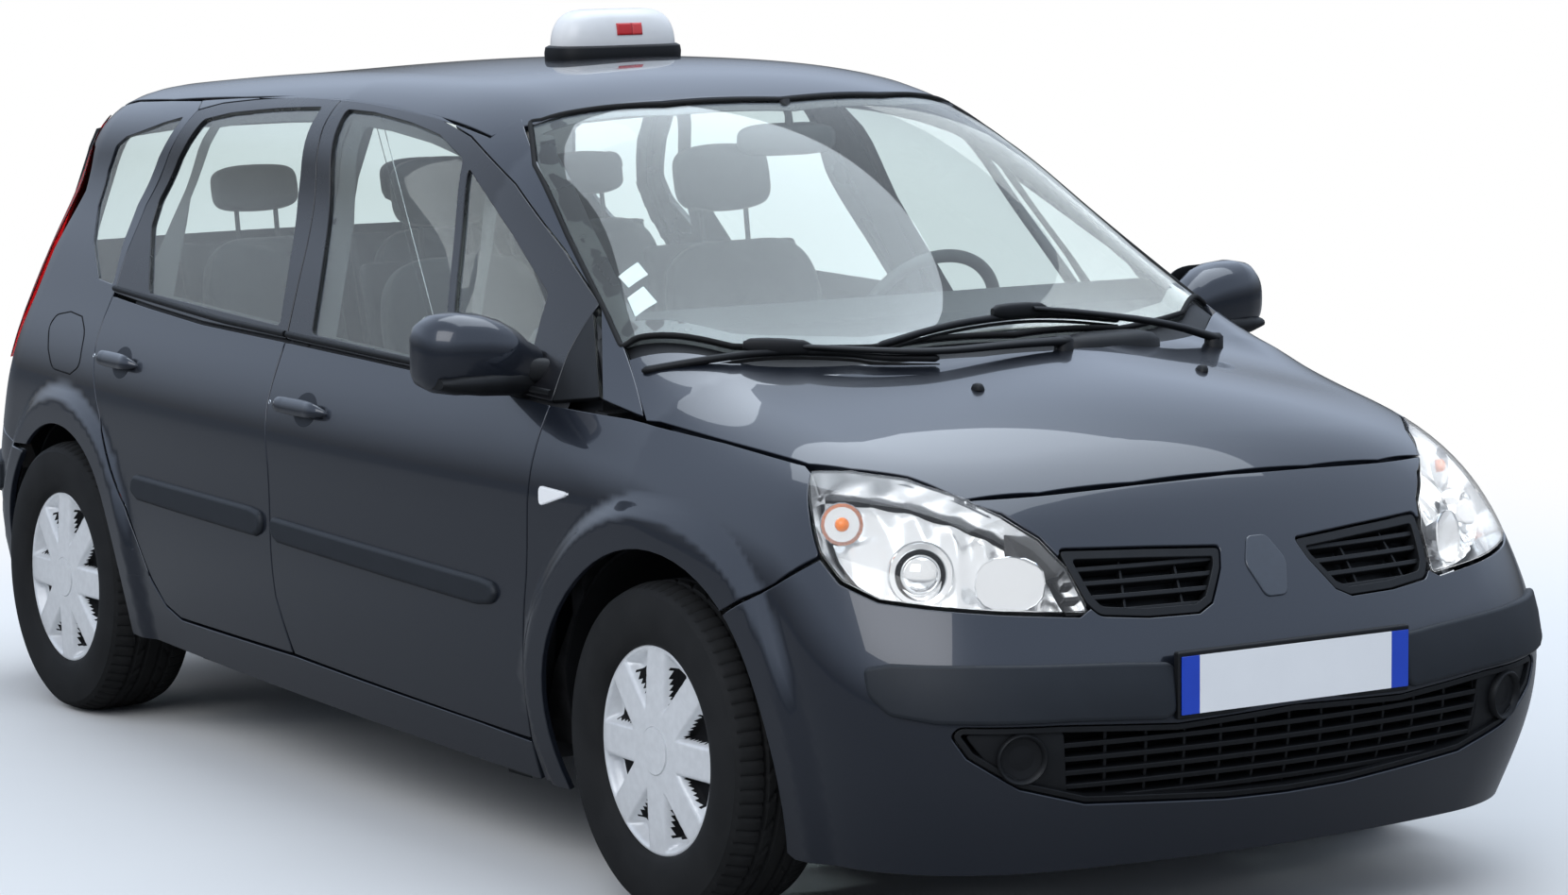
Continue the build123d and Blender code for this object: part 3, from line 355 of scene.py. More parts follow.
def make_mesh(name, verts, faces, mat, on="body", cad=(), normals=None):
    verts = np.array(verts, float)
    verts[:, 0] += AXLE
    me = bpy.data.meshes.new(name)
    me.from_pydata([tuple(v) for v in verts], [], [tuple(int(i) for i in f) for f in faces])
    me.polygons.foreach_set("use_smooth", [True] * len(me.polygons))
    me.update()
    if normals is not None:
        me.normals_split_custom_set_from_vertices([tuple(n) for n in normals])
    o = bpy.data.objects.new(name, me)
    bpy.context.scene.collection.objects.link(o)
    me.materials.append(mat)
    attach(o, on)
    for n in cad:
        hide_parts(n)
    return o


def triangulate(ring, holes, cell):
    """Flat points and triangles of about one cell inside an outline and outside its holes."""
    loops = [ring] + [h if area(h) < 0 else h[::-1] for h in holes]
    lo, hi = ring.min(0), ring.max(0)
    nx, ny = max(2, int((hi[0] - lo[0]) / cell)), max(2, int((hi[1] - lo[1]) / cell))
    gx, gy = np.meshgrid(np.linspace(lo[0], hi[0], nx), np.linspace(lo[1], hi[1], ny))
    gx[1::2] += (hi[0] - lo[0]) / nx / 2
    grid = np.stack([gx.ravel(), gy.ravel()], 1)
    grid = grid[within(grid, ring)]
    for loop in loops:
        if len(grid):
            if loop is not ring:
                grid = grid[~within(grid, loop)]
            grid = grid[edge_distance(grid, loop) > cell * 0.45]
    pts, edges = [], []
    for loop in loops:
        start, n = len(pts), len(loop)
        pts += [Vector(p) for p in loop]
        edges += [(start + i, start + (i + 1) % n) for i in range(n)]
    out = delaunay_2d_cdt(pts + [Vector(p) for p in grid], edges, [], 0, 1e-7)
    flat, tris = np.array([tuple(v) for v in out[0]]), np.array([f for f in out[2]])
    mid = flat[tris].mean(1)
    ok = within(mid, ring)
    for loop in loops[1:]:
        ok &= ~within(mid, loop)
    return flat, tris[ok]


def open_edges(tris):
    """The edges with one triangle, as start to end."""
    seen = {}
    for t in tris:
        for i in range(3):
            e = (t[i], t[(i + 1) % 3])
            if (e[1], e[0]) in seen:
                seen.pop((e[1], e[0]))
            else:
                seen[e] = True
    return {a: b for a, b in seen}


def panel_data(proj, ring, holes=(), cell=0.028, thick=0.014, edge=0.0025, gap=0.0, lift=0.0, close=False, warp=None):
    """A panel on the body's surface inside an outline, with rolled edges. Returns vertices, faces and normals."""
    scale = np.array([proj.stretch, 1.0])
    ring = dense(inset(np.asarray(ring, float) * scale, gap + edge), 0.02)
    holes = [dense(inset(np.asarray(h, float) * scale, -(gap + edge)), 0.018) for h in holes]
    flat, tris = triangulate(ring if area(ring) > 0 else ring[::-1], holes, cell)
    p = proj.up(flat / scale)
    n = normal(p)
    if warp is not None:
        p, n = warp(p, n)
    p = p + n * lift
    a, b, c = p[tris[:, 0]], p[tris[:, 1]], p[tris[:, 2]]
    if np.sum(np.cross(b - a, c - a) * n[tris[:, 0]]) < 0:
        tris = tris[:, ::-1]
    verts, norms, faces = [p], [n], [tuple(t) for t in tris]
    count = back = len(p)
    if close:
        verts.append(p - n * thick)
        norms.append(-n)
        faces += [tuple(int(i) + count for i in t[::-1]) for t in tris]
        count += len(p)
    after = open_edges(tris)
    todo = set(after)
    while todo:
        first = todo.pop()
        loop = [first]
        while after.get(loop[-1]) in todo:
            loop.append(after[loop[-1]])
            todo.discard(loop[-1])
        if len(loop) < 3:
            continue
        lp, ln = p[loop], n[loop]
        away = units(np.cross(units(np.roll(lp, -1, 0) - np.roll(lp, 1, 0)), ln))
        rows = [(lp + away * edge * math.sin(th) - ln * edge * (1 - math.cos(th)),
                 ln * math.cos(th) + away * math.sin(th)) for th in (0.5236, 1.0472, 1.5708)]
        rows.append((lp + away * edge - ln * (thick - edge if close else thick), away))
        k = len(loop)
        prev = np.array(loop)
        for pos, nor in rows:
            ids = np.arange(count, count + k)
            verts.append(pos)
            norms.append(nor)
            count += k
            faces += [(prev[i], ids[i], ids[(i + 1) % k], prev[(i + 1) % k]) for i in range(k)]
            prev = ids
        if close:
            ids = np.array(loop) + back
            faces += [(prev[i], ids[i], ids[(i + 1) % k], prev[(i + 1) % k]) for i in range(k)]
    return np.concatenate(verts), faces, np.concatenate(norms)


def panel(name, proj, ring, mat, on="body", cad=(), **kw):
    v, f, n = panel_data(proj, ring, **kw)
    return make_mesh(name, v, f, mat, on, cad, n)


def fix_normals(o, sharp=None):
    bm = bmesh.new()
    bm.from_mesh(o.data)
    bmesh.ops.recalc_face_normals(bm, faces=bm.faces)
    bm.to_mesh(o.data)
    bm.free()
    o.data.polygons.foreach_set("use_smooth", [True] * len(o.data.polygons))
    if sharp is not None:
        o.data.set_sharp_from_angle(angle=math.radians(sharp))


def loft(name, rings, mat, on="body", cad=(), caps=True, sharp=35, loop=False):
    """Skin over closed cross-sections with equal point counts."""
    rings = [np.asarray(r, float) for r in rings]
    k, m = len(rings[0]), len(rings)
    faces = []
    for i in range(m if loop else m - 1):
        j = (i + 1) % m
        for a in range(k):
            b = (a + 1) % k
            faces.append((i * k + a, i * k + b, j * k + b, j * k + a))
    if caps and not loop:
        faces.append(tuple(range(k))[::-1])
        faces.append(tuple((m - 1) * k + a for a in range(k)))
    o = make_mesh(name, np.concatenate(rings), faces, mat, on, cad)
    fix_normals(o, sharp)
    return o


def box(name, centre, size, mat, bevel=0.003, lean=0, on="body"):
    """A bevelled box, leaning by degrees about the crossways axis."""
    s = np.array([[x, y, z] for x in (-1, 1) for y in (-1, 1) for z in (-1, 1)], float) * np.array(size) / 2
    v = s @ np.array(Euler((0, math.radians(lean), 0)).to_matrix()).T + np.array(centre)
    f = [(0, 1, 3, 2), (4, 6, 7, 5), (0, 4, 5, 1), (2, 3, 7, 6), (0, 2, 6, 4), (1, 5, 7, 3)]
    o = make_mesh(name, v, f, mat, on)
    fix_normals(o)
    b = o.modifiers.new("bevel", "BEVEL")
    b.width, b.segments, b.harden_normals = bevel, 3, True


def tube(name, path, radius, mat, on="body", n=10, closed=False, flat=1.0):
    """A round or oval bar along a path; radius may be one number or one per point."""
    p = np.asarray(path, float)
    m = len(p)
    rad = np.broadcast_to(np.asarray(radius, float), (m,))
    ang = turns(n)
    rings = []
    for i in range(m):
        a = p[(i - 1) % m] if closed else p[max(i - 1, 0)]
        b = p[(i + 1) % m] if closed else p[min(i + 1, m - 1)]
        t = (b - a) / (np.linalg.norm(b - a) + 1e-12)
        s = np.cross(t, [0.0, 0.0, 1.0])
        if np.linalg.norm(s) < 1e-3:
            s = np.cross(t, [1.0, 0, 0])
        s = unit(s)
        w = np.cross(s, t)
        rings.append(p[i] + rad[i] * (np.cos(ang)[:, None] * s + flat * np.sin(ang)[:, None] * w))
    loft(name, rings, mat, on, caps=not closed, loop=closed, sharp=60)


def cad_mesh(node):
    """A CAD node's vertices, from the front axle, and its faces."""
    src = nodes[node]
    v = np.array([tuple(src.matrix_world @ w.co) for w in src.data.vertices])
    v[:, 0] -= AXLE
    return v, [tuple(p.vertices) for p in src.data.polygons]


def sunk(node, mat, on="body", depth=0.014, zone=0.05):
    """A CAD node's own shape with its outer faces set under the skin."""
    v, faces = cad_mesh(node)
    for _ in range(2):
        f = body(v)
        n = normal(v)
        move = np.where(f > -depth, np.minimum(f + depth, zone + depth), 0)
        v = v - n * move[:, None]
    o = make_mesh(node + "_inner", v, faces, mat, on, (node,))
    o.data.polygons.foreach_set("use_smooth", [False] * len(o.data.polygons))




# ------------------------------------------------------------ materials
def add(tree, kind, **values):
    """A shader node, with its sockets' values; an underscore in a name stands for a blank."""
    n = tree.nodes.new("ShaderNode" + kind)
    for socket, value in values.items():
        n.inputs[socket.replace("_", " ")].default_value = value
    return n


def wire(tree, *links):
    for a, leaves, b, enters in links:
        tree.links.new(a.outputs[leaves], b.inputs[enters])


def new_mat(name, color, rough):
    m = bpy.data.materials.new(name)
    m.use_nodes = True
    b = m.node_tree.nodes["Principled BSDF"]
    b.inputs["Base Color"].default_value = (*color, 1)
    b.inputs["Roughness"].default_value = rough
    return m, m.node_tree, b


def node_mat(name, color, rough=0.5, metal=0.0, coat=0.0, coat_rough=0.03, spec=0.5, vary=0.0, vary_scale=8.0,
             bump=0.0, bump_scale=400.0, rough_vary=0.0, sheen=0.0):
    m, nt, b = new_mat(name, color, rough)
    b.inputs["Metallic"].default_value = metal
    b.inputs["Coat Weight"].default_value = coat
    b.inputs["Coat Roughness"].default_value = coat_rough
    b.inputs["Specular IOR Level"].default_value = spec
    b.inputs["Sheen Weight"].default_value = sheen
    coord = add(nt, "TexCoord")
    if vary or rough_vary:
        tex = add(nt, "TexNoise", Scale=vary_scale, Detail=4)
        wire(nt, (coord, "Object", tex, "Vector"))
    if vary:
        ramp = add(nt, "ValToRGB")
        for e, place, share in zip(ramp.color_ramp.elements, (0.35, 0.65), (1 - vary, 1 + vary)):
            e.position = place
            e.color = (*[min(1, c * share) for c in color], 1)
        wire(nt, (tex, "Fac", ramp, "Fac"), (ramp, "Color", b, "Base Color"))
    if rough_vary:
        span = add(nt, "MapRange", To_Min=max(0.0, rough - rough_vary), To_Max=rough + rough_vary)
        wire(nt, (tex, "Fac", span, "Value"), (span, "Result", b, "Roughness"))
    if bump:
        grain = add(nt, "TexNoise", Scale=bump_scale)
        relief = add(nt, "Bump", Strength=bump, Distance=0.001)
        wire(nt, (coord, "Object", grain, "Vector"), (grain, "Fac", relief, "Height"), (relief, "Normal", b, "Normal"))
    return m


def glass_mat(name, color, ior=1.45, tint=None):
    """Glass that lets the lamps' light through."""
    m, nt, b = new_mat(name, color, 0.0)
    b.inputs["IOR"].default_value = ior
    b.inputs["Transmission Weight"].default_value = 1.0
    clear = add(nt, "BsdfTransparent", Color=(*(tint or color), 1))
    rays, mix = add(nt, "LightPath"), add(nt, "MixShader")
    wire(nt, (rays, "Is Shadow Ray", mix, "Fac"), (b, "BSDF", mix, 1), (clear, "BSDF", mix, 2),
         (mix, "Shader", nt.nodes["Material Output"], "Surface"))
    return m


PAINT = node_mat("paint", (0.017, 0.021, 0.031), 0.30, 0.45, coat=1.0, coat_rough=0.02, vary=0.10, vary_scale=900.0)
# Darker, uncoated paint for the bonnet's inside, also used as painted shade in the door handles' bowls
INNER_AND_SHADE_PAINT = node_mat("paint_inside_and_shade", (0.015, 0.019, 0.027), 0.45, 0.3, vary=0.1, vary_scale=40.0)
FRAME = node_mat("frame_black", (0.010, 0.010, 0.012), 0.28, coat=0.4, coat_rough=0.1, rough_vary=0.05)
TRIM = node_mat("trim_black", (0.006, 0.0065, 0.0075), 0.52, spec=0.35, bump=0.15, bump_scale=900.0, vary=0.15,
                vary_scale=30.0)
STRIP = node_mat("strip_grey", (0.015, 0.018, 0.023), 0.50, spec=0.35, bump=0.10, bump_scale=1200.0, vary=0.06,
                 vary_scale=20.0)
RUBBER = node_mat("rubber", (0.0085, 0.0085, 0.0085), 0.78, spec=0.35, bump=0.10, bump_scale=700.0, vary=0.2,
                  vary_scale=14.0)
STEEL = node_mat("steel_dark", (0.05, 0.05, 0.052), 0.5, 0.7, vary=0.3, vary_scale=25.0, bump=0.1, bump_scale=60.0)
ENGINE = node_mat("engine_metal", (0.25, 0.25, 0.25), 0.5, 0.7, vary=0.2, vary_scale=20.0)
EXHAUST = node_mat("exhaust_steel", (0.22, 0.20, 0.18), 0.45, 0.9, vary=0.3, vary_scale=12.0)
COVER = node_mat("cover_silver", (0.70, 0.71, 0.72), 0.36, 0.15, coat=0.5, coat_rough=0.15, vary=0.04,
                 vary_scale=60.0)
# Near-black painted shade, for the wheel covers' window floors, the sheet behind the lower opening and the filler
# flap's groove
PAINTED_SHADE = node_mat("painted_shade_black", (0.003, 0.003, 0.0035), 0.7, spec=0.2, vary=0.2, vary_scale=20.0)
CABIN = node_mat("cabin_plastic", (0.030, 0.031, 0.034), 0.62, bump=0.2, bump_scale=800.0, vary=0.1,
                 vary_scale=10.0)
CLOTH = node_mat("seat_cloth", (0.028, 0.029, 0.034), 0.92, bump=0.4, bump_scale=1500.0, vary=0.3,
                 vary_scale=500.0, sheen=0.25)
HEADLINER = node_mat("headliner", (0.45, 0.44, 0.41), 0.9, vary=0.06, vary_scale=200.0)
CHROME = node_mat("lamp_chrome", (0.86, 0.87, 0.88), 0.10, 1.0, rough_vary=0.03, vary_scale=12.0)
LAMPIN = node_mat("lamp_reflector", (0.80, 0.81, 0.82), 0.20, 0.9, rough_vary=0.05, vary_scale=9.0)
ORANGE = node_mat("bulb_orange", (0.90, 0.22, 0.02), 0.25, coat=0.5, vary=0.1, vary_scale=80.0)
WHITE = node_mat("plate_white", (0.88, 0.88, 0.88), 0.35, coat=0.3, vary=0.01, vary_scale=10.0)
SIGNW = node_mat("sign_white", (0.90, 0.90, 0.89), 0.35, coat=0.4, coat_rough=0.1, vary=0.02, vary_scale=16.0)
BLUE = node_mat("plate_blue", (0.006, 0.055, 0.52), 0.35, coat=0.3, vary=0.03, vary_scale=20.0)
RED = node_mat("sign_red", (0.62, 0.012, 0.015), 0.4, coat=0.3, vary=0.04, vary_scale=30.0)
RED2 = node_mat("sign_red_light", (0.75, 0.05, 0.05), 0.4, coat=0.3, vary=0.04, vary_scale=30.0)
MIRROR = node_mat("mirror_glass", (0.75, 0.78, 0.80), 0.03, 1.0, rough_vary=0.01)
STICKER = node_mat("sticker", (0.78, 0.82, 0.84), 0.5, vary=0.03, vary_scale=60.0)
BADGE = node_mat("badge_bare", (0.030, 0.037, 0.050), 0.4, coat=0.8, vary=0.05, vary_scale=60.0)
RIM = node_mat("rim_dark", (0.010, 0.010, 0.011), 0.6, 0.3, spec=0.3, vary=0.2, vary_scale=20.0)
GLASS = glass_mat("glass", (0.80, 0.88, 0.88))
LENS = glass_mat("lens_clear", (0.96, 0.97, 0.98), 1.35)
REDLENS = glass_mat("lens_red", (0.62, 0.012, 0.015), 1.4, (0.8, 0.1, 0.1))


# ------------------------------------------------------------ body panels
def on_side(points, sgn=-1):
    """Side points (x, z) as points on the body on that side."""
    return SIDE[sgn].up(np.array(points, float))


def on_top(x, y, d=0.0):
    """The point d above the body at a station and an offset."""
    p = TOP.up(np.array([x, y], float))
    return p + normal(p) * d


def on_nose(x, y, z, d=0.0):
    """The point d above the nose's skin nearest a place, along a line from the middle."""
    p = NOSE.up(NOSE.down(np.array([x, y, z])))
    return p + normal(p) * d


def on_tail(y, z, lo=2.6):
    return root(lambda t: np.array([-t, y, z]), lo, 4.0)


def roll_ring(points, sgn):
    """An outline in the roll map from (x, z) pairs or from (x, y, z) points of the right side."""
    return np.array([ROLL[sgn].down(on_side([p], sgn)[0] if len(p) == 2 else np.array([p[0], -sgn * p[1], p[2]]))
                     for p in points])


def nose_ring(points):
    return NOSE.down(np.array(points, float))


def tail_ring(yz):
    return np.array([TAIL.down(on_tail(y, z)) for y, z in yz])


# outlines of doors and windows, station and height
door_front_edge = [(-.435, .925), (-.438, .798), (-.444, .598), (-.462, .42), (-.489, .264)]
door_joint = [(-1.51, .421), (-1.533, .698), (-1.559, .836)]
door_rear_edge = [(-2.054, .300), (-2.128, .322), (-2.183, .375), (-2.292, .526), (-2.437, .688), (-2.51, .811),
                  (-2.544, .875), (-2.549, .930), (-2.541, .990)]
frame_top_f = [(-.464, 1.111), (-.647, 1.204), (-.891, 1.319), (-1.119, 1.405), (-1.275, 1.436), (-1.50, 1.455),
               (-1.722, 1.462)]
frame_top_r = [(-1.722, 1.462), (-1.921, 1.458), (-2.1, 1.447), (-2.286, 1.431), (-2.393, 1.412)]
frame_rear = [(-2.470, 1.31), (-2.535, 1.189), (-2.549, 1.08), (-2.541, .990)]
front_light = [(-.874, .967), (-1.094, 1.36), (-1.225, 1.403), (-1.362, 1.423), (-1.537, 1.438), (-1.654, 1.44),
               (-1.60, 1.30), (-1.50, 1.08), (-1.461, .983)]
front_vent = [(-.549, .959), (-.61, 1.12), (-.823, 1.226), (-1.056, 1.342), (-.838, .963)]
rear_light = [(-1.621, .988), (-1.66, 1.08), (-1.738, 1.25), (-1.771, 1.441), (-1.967, 1.431), (-2.197, 1.412),
              (-2.326, 1.392), (-2.41, 1.30), (-2.467, 1.205), (-2.462, 1.15), (-2.342, 1.006)]
quarter_light = [(-2.565, 1.009), (-2.592, 1.10), (-2.587, 1.189), (-2.53, 1.30), (-2.454, 1.392), (-2.554, 1.375),
                 (-2.755, 1.334), (-2.807, 1.311), (-2.831, 1.253), (-2.829, 1.176), (-2.772, 1.092), (-2.662, 1.015)]
ARCH_F, ARCH_R = (0.0, HUB, 0.378), (-WHEELBASE, HUB, 0.360)

# each door: its skin, the frame above it, its panes
DOORS = {
    "front": (door_front_edge + [(-1.467, .300)] + door_joint + [(-1.566, .958), (-1.2, .952), (-.8, .943)],
              [(-.435, .930), (-.455, 1.02)] + frame_top_f + [(-1.62, 1.15), (-1.566, .962), (-1.2, .955), (-.8, .946)],
              {"light": front_light, "vent": front_vent}),
    "rear": ([(-1.473, .300)] + door_joint + [(-1.568, .958), (-2.0, .962), (-2.3, .974), (-2.541, .985)]
             + door_rear_edge[::-1][1:],
             [(-1.568, .962), (-1.62, 1.15)] + frame_top_r + frame_rear + [(-2.3, .978), (-2.0, .966)],
             {"light": rear_light}),
}
SKIN = dict(cell=0.024, thick=0.013, edge=0.0022, gap=0.0015)
CLOSED = dict(thick=0.013, edge=0.0022, close=True)
PANE = dict(cell=0.03, thick=0.0035, edge=0.001, close=True)

bonnet = [(-.300, -.715), (-.125, -.535), (0, -.295), (.06, -.14), (.075, 0), (.06, .14), (0, .295), (-.125, .535),
          (-.300, .715), (-.136, .775), (.084, .730), (.29, .687), (.366, .645), (.455, .581), (.557, .532),
          (.60, .393), (.625, .201), (.631, 0), (.625, -.201), (.6, -.393), (.557, -.532),
          (.455, -.581), (.366, -.645), (.29, -.687), (.084, -.730), (-.136, -.775)]
panel("bonnet_skin", TOP, bonnet, PAINT, "bonnet", **SKIN)
sunk("bonnet", INNER_AND_SHADE_PAINT, "bonnet")

roof = [(-1.06, ROOF_Y), (-.985, .52), (-.905, .268), (-.868, 0), (-.905, -.268), (-.985, -.52), (-1.06, -ROOF_Y),
        (-1.6, -ROOF_Y), (-2.2, -ROOF_Y), (-2.6, -.575), (-2.93, -.55), (-2.975, -.40), (-2.99, 0), (-2.975, .40),
        (-2.93, .55), (-2.6, .575), (-2.2, ROOF_Y), (-1.6, ROOF_Y)]
panel("roof_skin", TOP, roof, PAINT, cell=0.03, thick=0.012, edge=0.003, gap=0.0012)
sunk("roof_panel", HEADLINER, depth=0.016)

wing = [(-.435, .925), (-.18, .920), (-.136, .917), (.084, .897), (.29, .873), (.318, .862), (.387, .797),
        (.444, .737), (.447, .729), (.368, .675), (.262, .622), (.232, .608)] + arc(*ARCH_F, 52, 201, 26) \
    + [(-.480, .18)] + door_front_edge[:0:-1]
sill = [(-.489, .259), (-.70, .270), (-1.467, .296), (-2.054, .296), (-2.128, .318), (-2.19, .372), (-2.243, .44)]
sill = list(dense(sill, 0.03, False)) + arc(*ARCH_R, 16, -22, 8) \
    + list(dense([(-2.33, .225), (-.494, .178)], 0.03, False))
roof_edge = list(TOP.up(np.array([(x, -ROOF_Y) for x in (-2.42, -2.2, -1.9, -1.6, -1.3, -1.06)])))
pillar = [(-.290, .945)] + frame_top_f + frame_top_r[1:] + roof_edge + [
    (-1.036, -.523, 1.443), (-.837, -.589, 1.339), (-.552, -.658, 1.162), (-.337, -.701, 1.042), (-.150, -.768, .925)]
sail = [(-.437, .931), (-.459, 1.02), (-.470, 1.100), (-.300, .948)]
for sgn, s in SIDES:
    panel("wing_" + s, SIDE[sgn], wing, PAINT, cad=("front_wings",), cell=0.013, gap=0.0012, **CLOSED)
    panel("sill_" + s, SIDE[sgn], sill, PAINT, cell=0.022, gap=0.0012, **CLOSED)
    for end, (skin, top, lights) in DOORS.items():
        b = "door_%s_%s" % (end, s)
        panel(b + "_skin", SIDE[sgn], skin, PAINT, b, **SKIN)
        sunk(b, CABIN, b, depth=0.015)
        panel(b + "_frame", ROLL[sgn], roll_ring(top, sgn), FRAME, b, cell=0.02, thick=0.016, edge=0.002, gap=0.0012,
              holes=[round_ring(roll_ring(h, sgn)) for h in lights.values()])
        for key, h in lights.items():
            panel(b + "_" + key, ROLL[sgn], inset(roll_ring(h, sgn), -0.006), GLASS, b,
                  ("glass_%s_%s" % (end, s),), lift=-0.006, **PANE)
    panel("pillar_" + s, ROLL[sgn], roll_ring(pillar, sgn), PAINT, cad=("roof_rails",), cell=0.02, gap=0.0010, **CLOSED)
    # black sail behind the pillar's foot
    panel("sail_" + s, ROLL[sgn], roll_ring(sail, sgn), TRIM, cell=0.02, thick=0.012, edge=0.002, gap=0.001,
          lift=-0.001)

# rear quarters: the door's edge, the roof's edge, the lamp's edge down the corner, then the arch
quarter = list(on_side([(-2.19, .372)] + door_rear_edge[3:] + frame_rear[-2::-1] + [(-2.393, 1.412)]))
quarter += list(TOP.up(np.array([(-2.42, -ROOF_Y), (-2.6, -.575), (-2.8, -.562), (-2.93, -.55)])))
quarter += [(-2.985, -.553, 1.385), (-3.04, -.560, 1.33)]
quarter += [on_tail(-y, z, 2.5) for z, y in
            ((1.30, .615), (1.20, .650), (1.06, .700), (.95, .745), (.86, .775), (.785, .790))]
quarter += list(on_side([(-3.17, .63), (-3.05, .60)] + arc(*ARCH_R, 126, 9, 26)))
for sgn, s in SIDES:
    ring = TAIL.down(np.array(quarter) * [1, -sgn, 1])
    ring[:, 0] = np.unwrap(ring[:, 0])
    hole = TAIL.down(on_side(quarter_light, sgn))
    panel("quarter_" + s, TAIL, ring, PAINT, cad=("quarter_panels",), holes=[round_ring(hole, .010)], cell=0.015,
          gap=0.0010, **CLOSED)
    panel("quarter_light_" + s, TAIL, grow(hole, -0.006), GLASS, cad=("quarter_glass",), lift=-0.004, **PANE)

sunk("side_sills", TRIM, depth=0.022)
sunk("front_structure", STEEL, depth=0.035, zone=0.12)

# ------------------------------------------------------------ front end
bumper = nose_ring([
    (.631, 0.0, .839), (.625, -.201, .835), (.6, -.393, .828), (.557, -.527, .822), (.608, -.482, .799),
    (.659, -.436, .759), (.702, -.406, .71), (.745, -.388, .640), (.745, -.41, .628), (.708, -.553, .640),
    (.637, -.666, .652), (.574, -.724, .661), (.504, -.760, .688), (.452, -.767, .727), (.368, -.81, .673),
    (.262, -.824, .620), (.236, -.828, .606)] + list(on_side(arc(*ARCH_F, 47, -22, 16))) + [
        (.40, -.835, .165), (.55, -.76, .165), (.68, -.58, .168), (.76, -.30, .168), (.785, 0.0, .168)])
grille = nose_ring([(.681, -.411, .739), (.712, -.24, .732), (.729, -.085, .723), (.751, -.100, .688),
                    (.785, -.142, .632), (.789, -.175, .617), (.775, -.28, .618), (.758, -.375, .627),
                    (.741, -.392, .650)])
GRILLES = ((-1, "right", grille), (1, "left", flipped(grille)))
low = whole(nose_ring([(.845, 0, .440), (.841, -.259, .430), (.805, -.492, .445), (.735, -.665, .450),
                       (.731, -.680, .435), (.745, -.655, .395), (.777, -.563, .335), (.796, -.434, .298),
                       (.822, -.138, .278), (.825, 0, .275)]), [-1, 1])
panel("bumper_skin", NOSE, whole(bumper, [-1, 1]), PAINT, cad=("front_bumper", "front_grilles"), cell=0.016,
      thick=0.014, edge=0.003, gap=0.0012, close=True,
      holes=[soft(ring) for _, _, ring in GRILLES] + [soft(low, .02)])

for sgn, s, ring in GRILLES:
    panel("grille_back_" + s, NOSE, grow(ring, -0.004), TRIM, cell=0.03, thick=0.01, lift=-0.045)
    panel("grille_rim_" + s, NOSE, soft(grow(ring, 0.001)), TRIM, holes=[soft(grow(ring, 0.016), .008)], cell=0.01,
          thick=0.03, lift=-0.003, edge=0.002)
    lo, hi = ring.min(0)[0], ring.max(0)[0]
    for i in range(4):
        z = 0.636 + 0.024 * i
        a = lo + 0.012 + (0.018 * (3 - i) if sgn > 0 else 0.0)
        b = hi - 0.012 - (0.018 * (3 - i) if sgn < 0 else 0.0)
        panel("slat_%s_%d" % (s, i), NOSE, rect(a, z - .0045, b, z + .0045), TRIM, cell=0.02, thick=0.024,
              lift=-0.010, edge=0.002)
    for i, f in enumerate((0.36, 0.70)):
        a = lo + (hi - lo) * f
        panel("slat_post_%s_%d" % (s, i), NOSE, rect(a - .003, .628, a + .003, .722), TRIM, cell=0.02, thick=0.02,
              lift=-0.018, edge=0.001)

# A near-black sheet set back in the lower opening: painted shade for the dark space behind it
panel("low_back", NOSE, grow(low, -0.004), PAINTED_SHADE, cell=0.03, thick=0.01, lift=-0.06)
panel("low_rim", NOSE, soft(grow(low, 0.001), .02), TRIM, holes=[soft(grow(low, 0.012), .014)], cell=0.012,
      thick=0.04, lift=-0.004, edge=0.002)
for i in range(5):
    z, w = 0.300 + 0.0265 * i, 0.585 + 0.010 * i
    panel("low_slat_%d" % i, NOSE, rect(-w, z - .005, w, z + .005), TRIM, cell=0.03, thick=0.03, lift=-0.014,
          edge=0.002)
for i in range(13):
    a = -0.54 + 1.08 * i / 12
    panel("low_post_%d" % i, NOSE, rect(a - .0035, .284, a + .0035, .430), TRIM, cell=0.03, thick=0.03, lift=-0.022,
          edge=0.001)


def across(axis):
    """An axis with the two directions across it."""
    u = unit(np.cross(Z, axis))
    return axis, u, np.cross(axis, u)


def stack(name, centre, rows, mat, n=20, power=2, axes=(Z, X, Y), **kw):
    """Skin over ovals; each row gives the place along the first axis and the half sizes along the others."""
    axis, u, w = axes
    loft(name, [oval(centre + np.array(axis) * d, a, b, u, w, power, n) for d, a, b in rows], mat, **kw)


def turned(name, centre, axes, prof, mat, n=20, power=2, squash=1, **kw):
    """A turned shape: prof gives radius and place along the axis."""
    stack(name, centre, [(d, r, r * squash) for r, d in prof], mat, n, power, axes, **kw)


fog = nose_ring([(.733, -.655, .437), (.80, -.478, .437), (.80, -.470, .31), (.785, -.53, .318), (.762, -.615, .372)])
fog_turn = [(0.046, -0.014), (0.047, -0.002), (0.044, 0.001), (0.040, -0.001), (0.037, -0.010), (0.022, -0.013),
            (0.006, -0.014)]
strip = nose_ring([(.590, -.768, .548), (.63, -.735, .558), (.72, -.58, .556), (.80, -.36, .546), (.838, -.278, .540),
                   (.845, -.266, .53), (.845, -.268, .452), (.838, -.285, .440), (.80, -.45, .450), (.70, -.69, .456),
                   (.645, -.752, .468), (.605, -.768, .50)])
STRIPS = dict(cell=0.02, thick=0.024, lift=0.012, edge=0.009)
for sgn, s in SIDES:
    panel("fog_panel_" + s, NOSE, soft(flipped(fog, sgn), .015), TRIM, cell=0.015, thick=0.02, lift=-0.012, edge=0.003)
    c = on_nose(.785, sgn * .562, .389)
    turned("fog_blank_" + s, c, across(normal(c)), fog_turn, TRIM, 40, sharp=50)
    panel("strip_front_" + s, NOSE, soft(flipped(strip, sgn), .01), STRIP, **STRIPS)


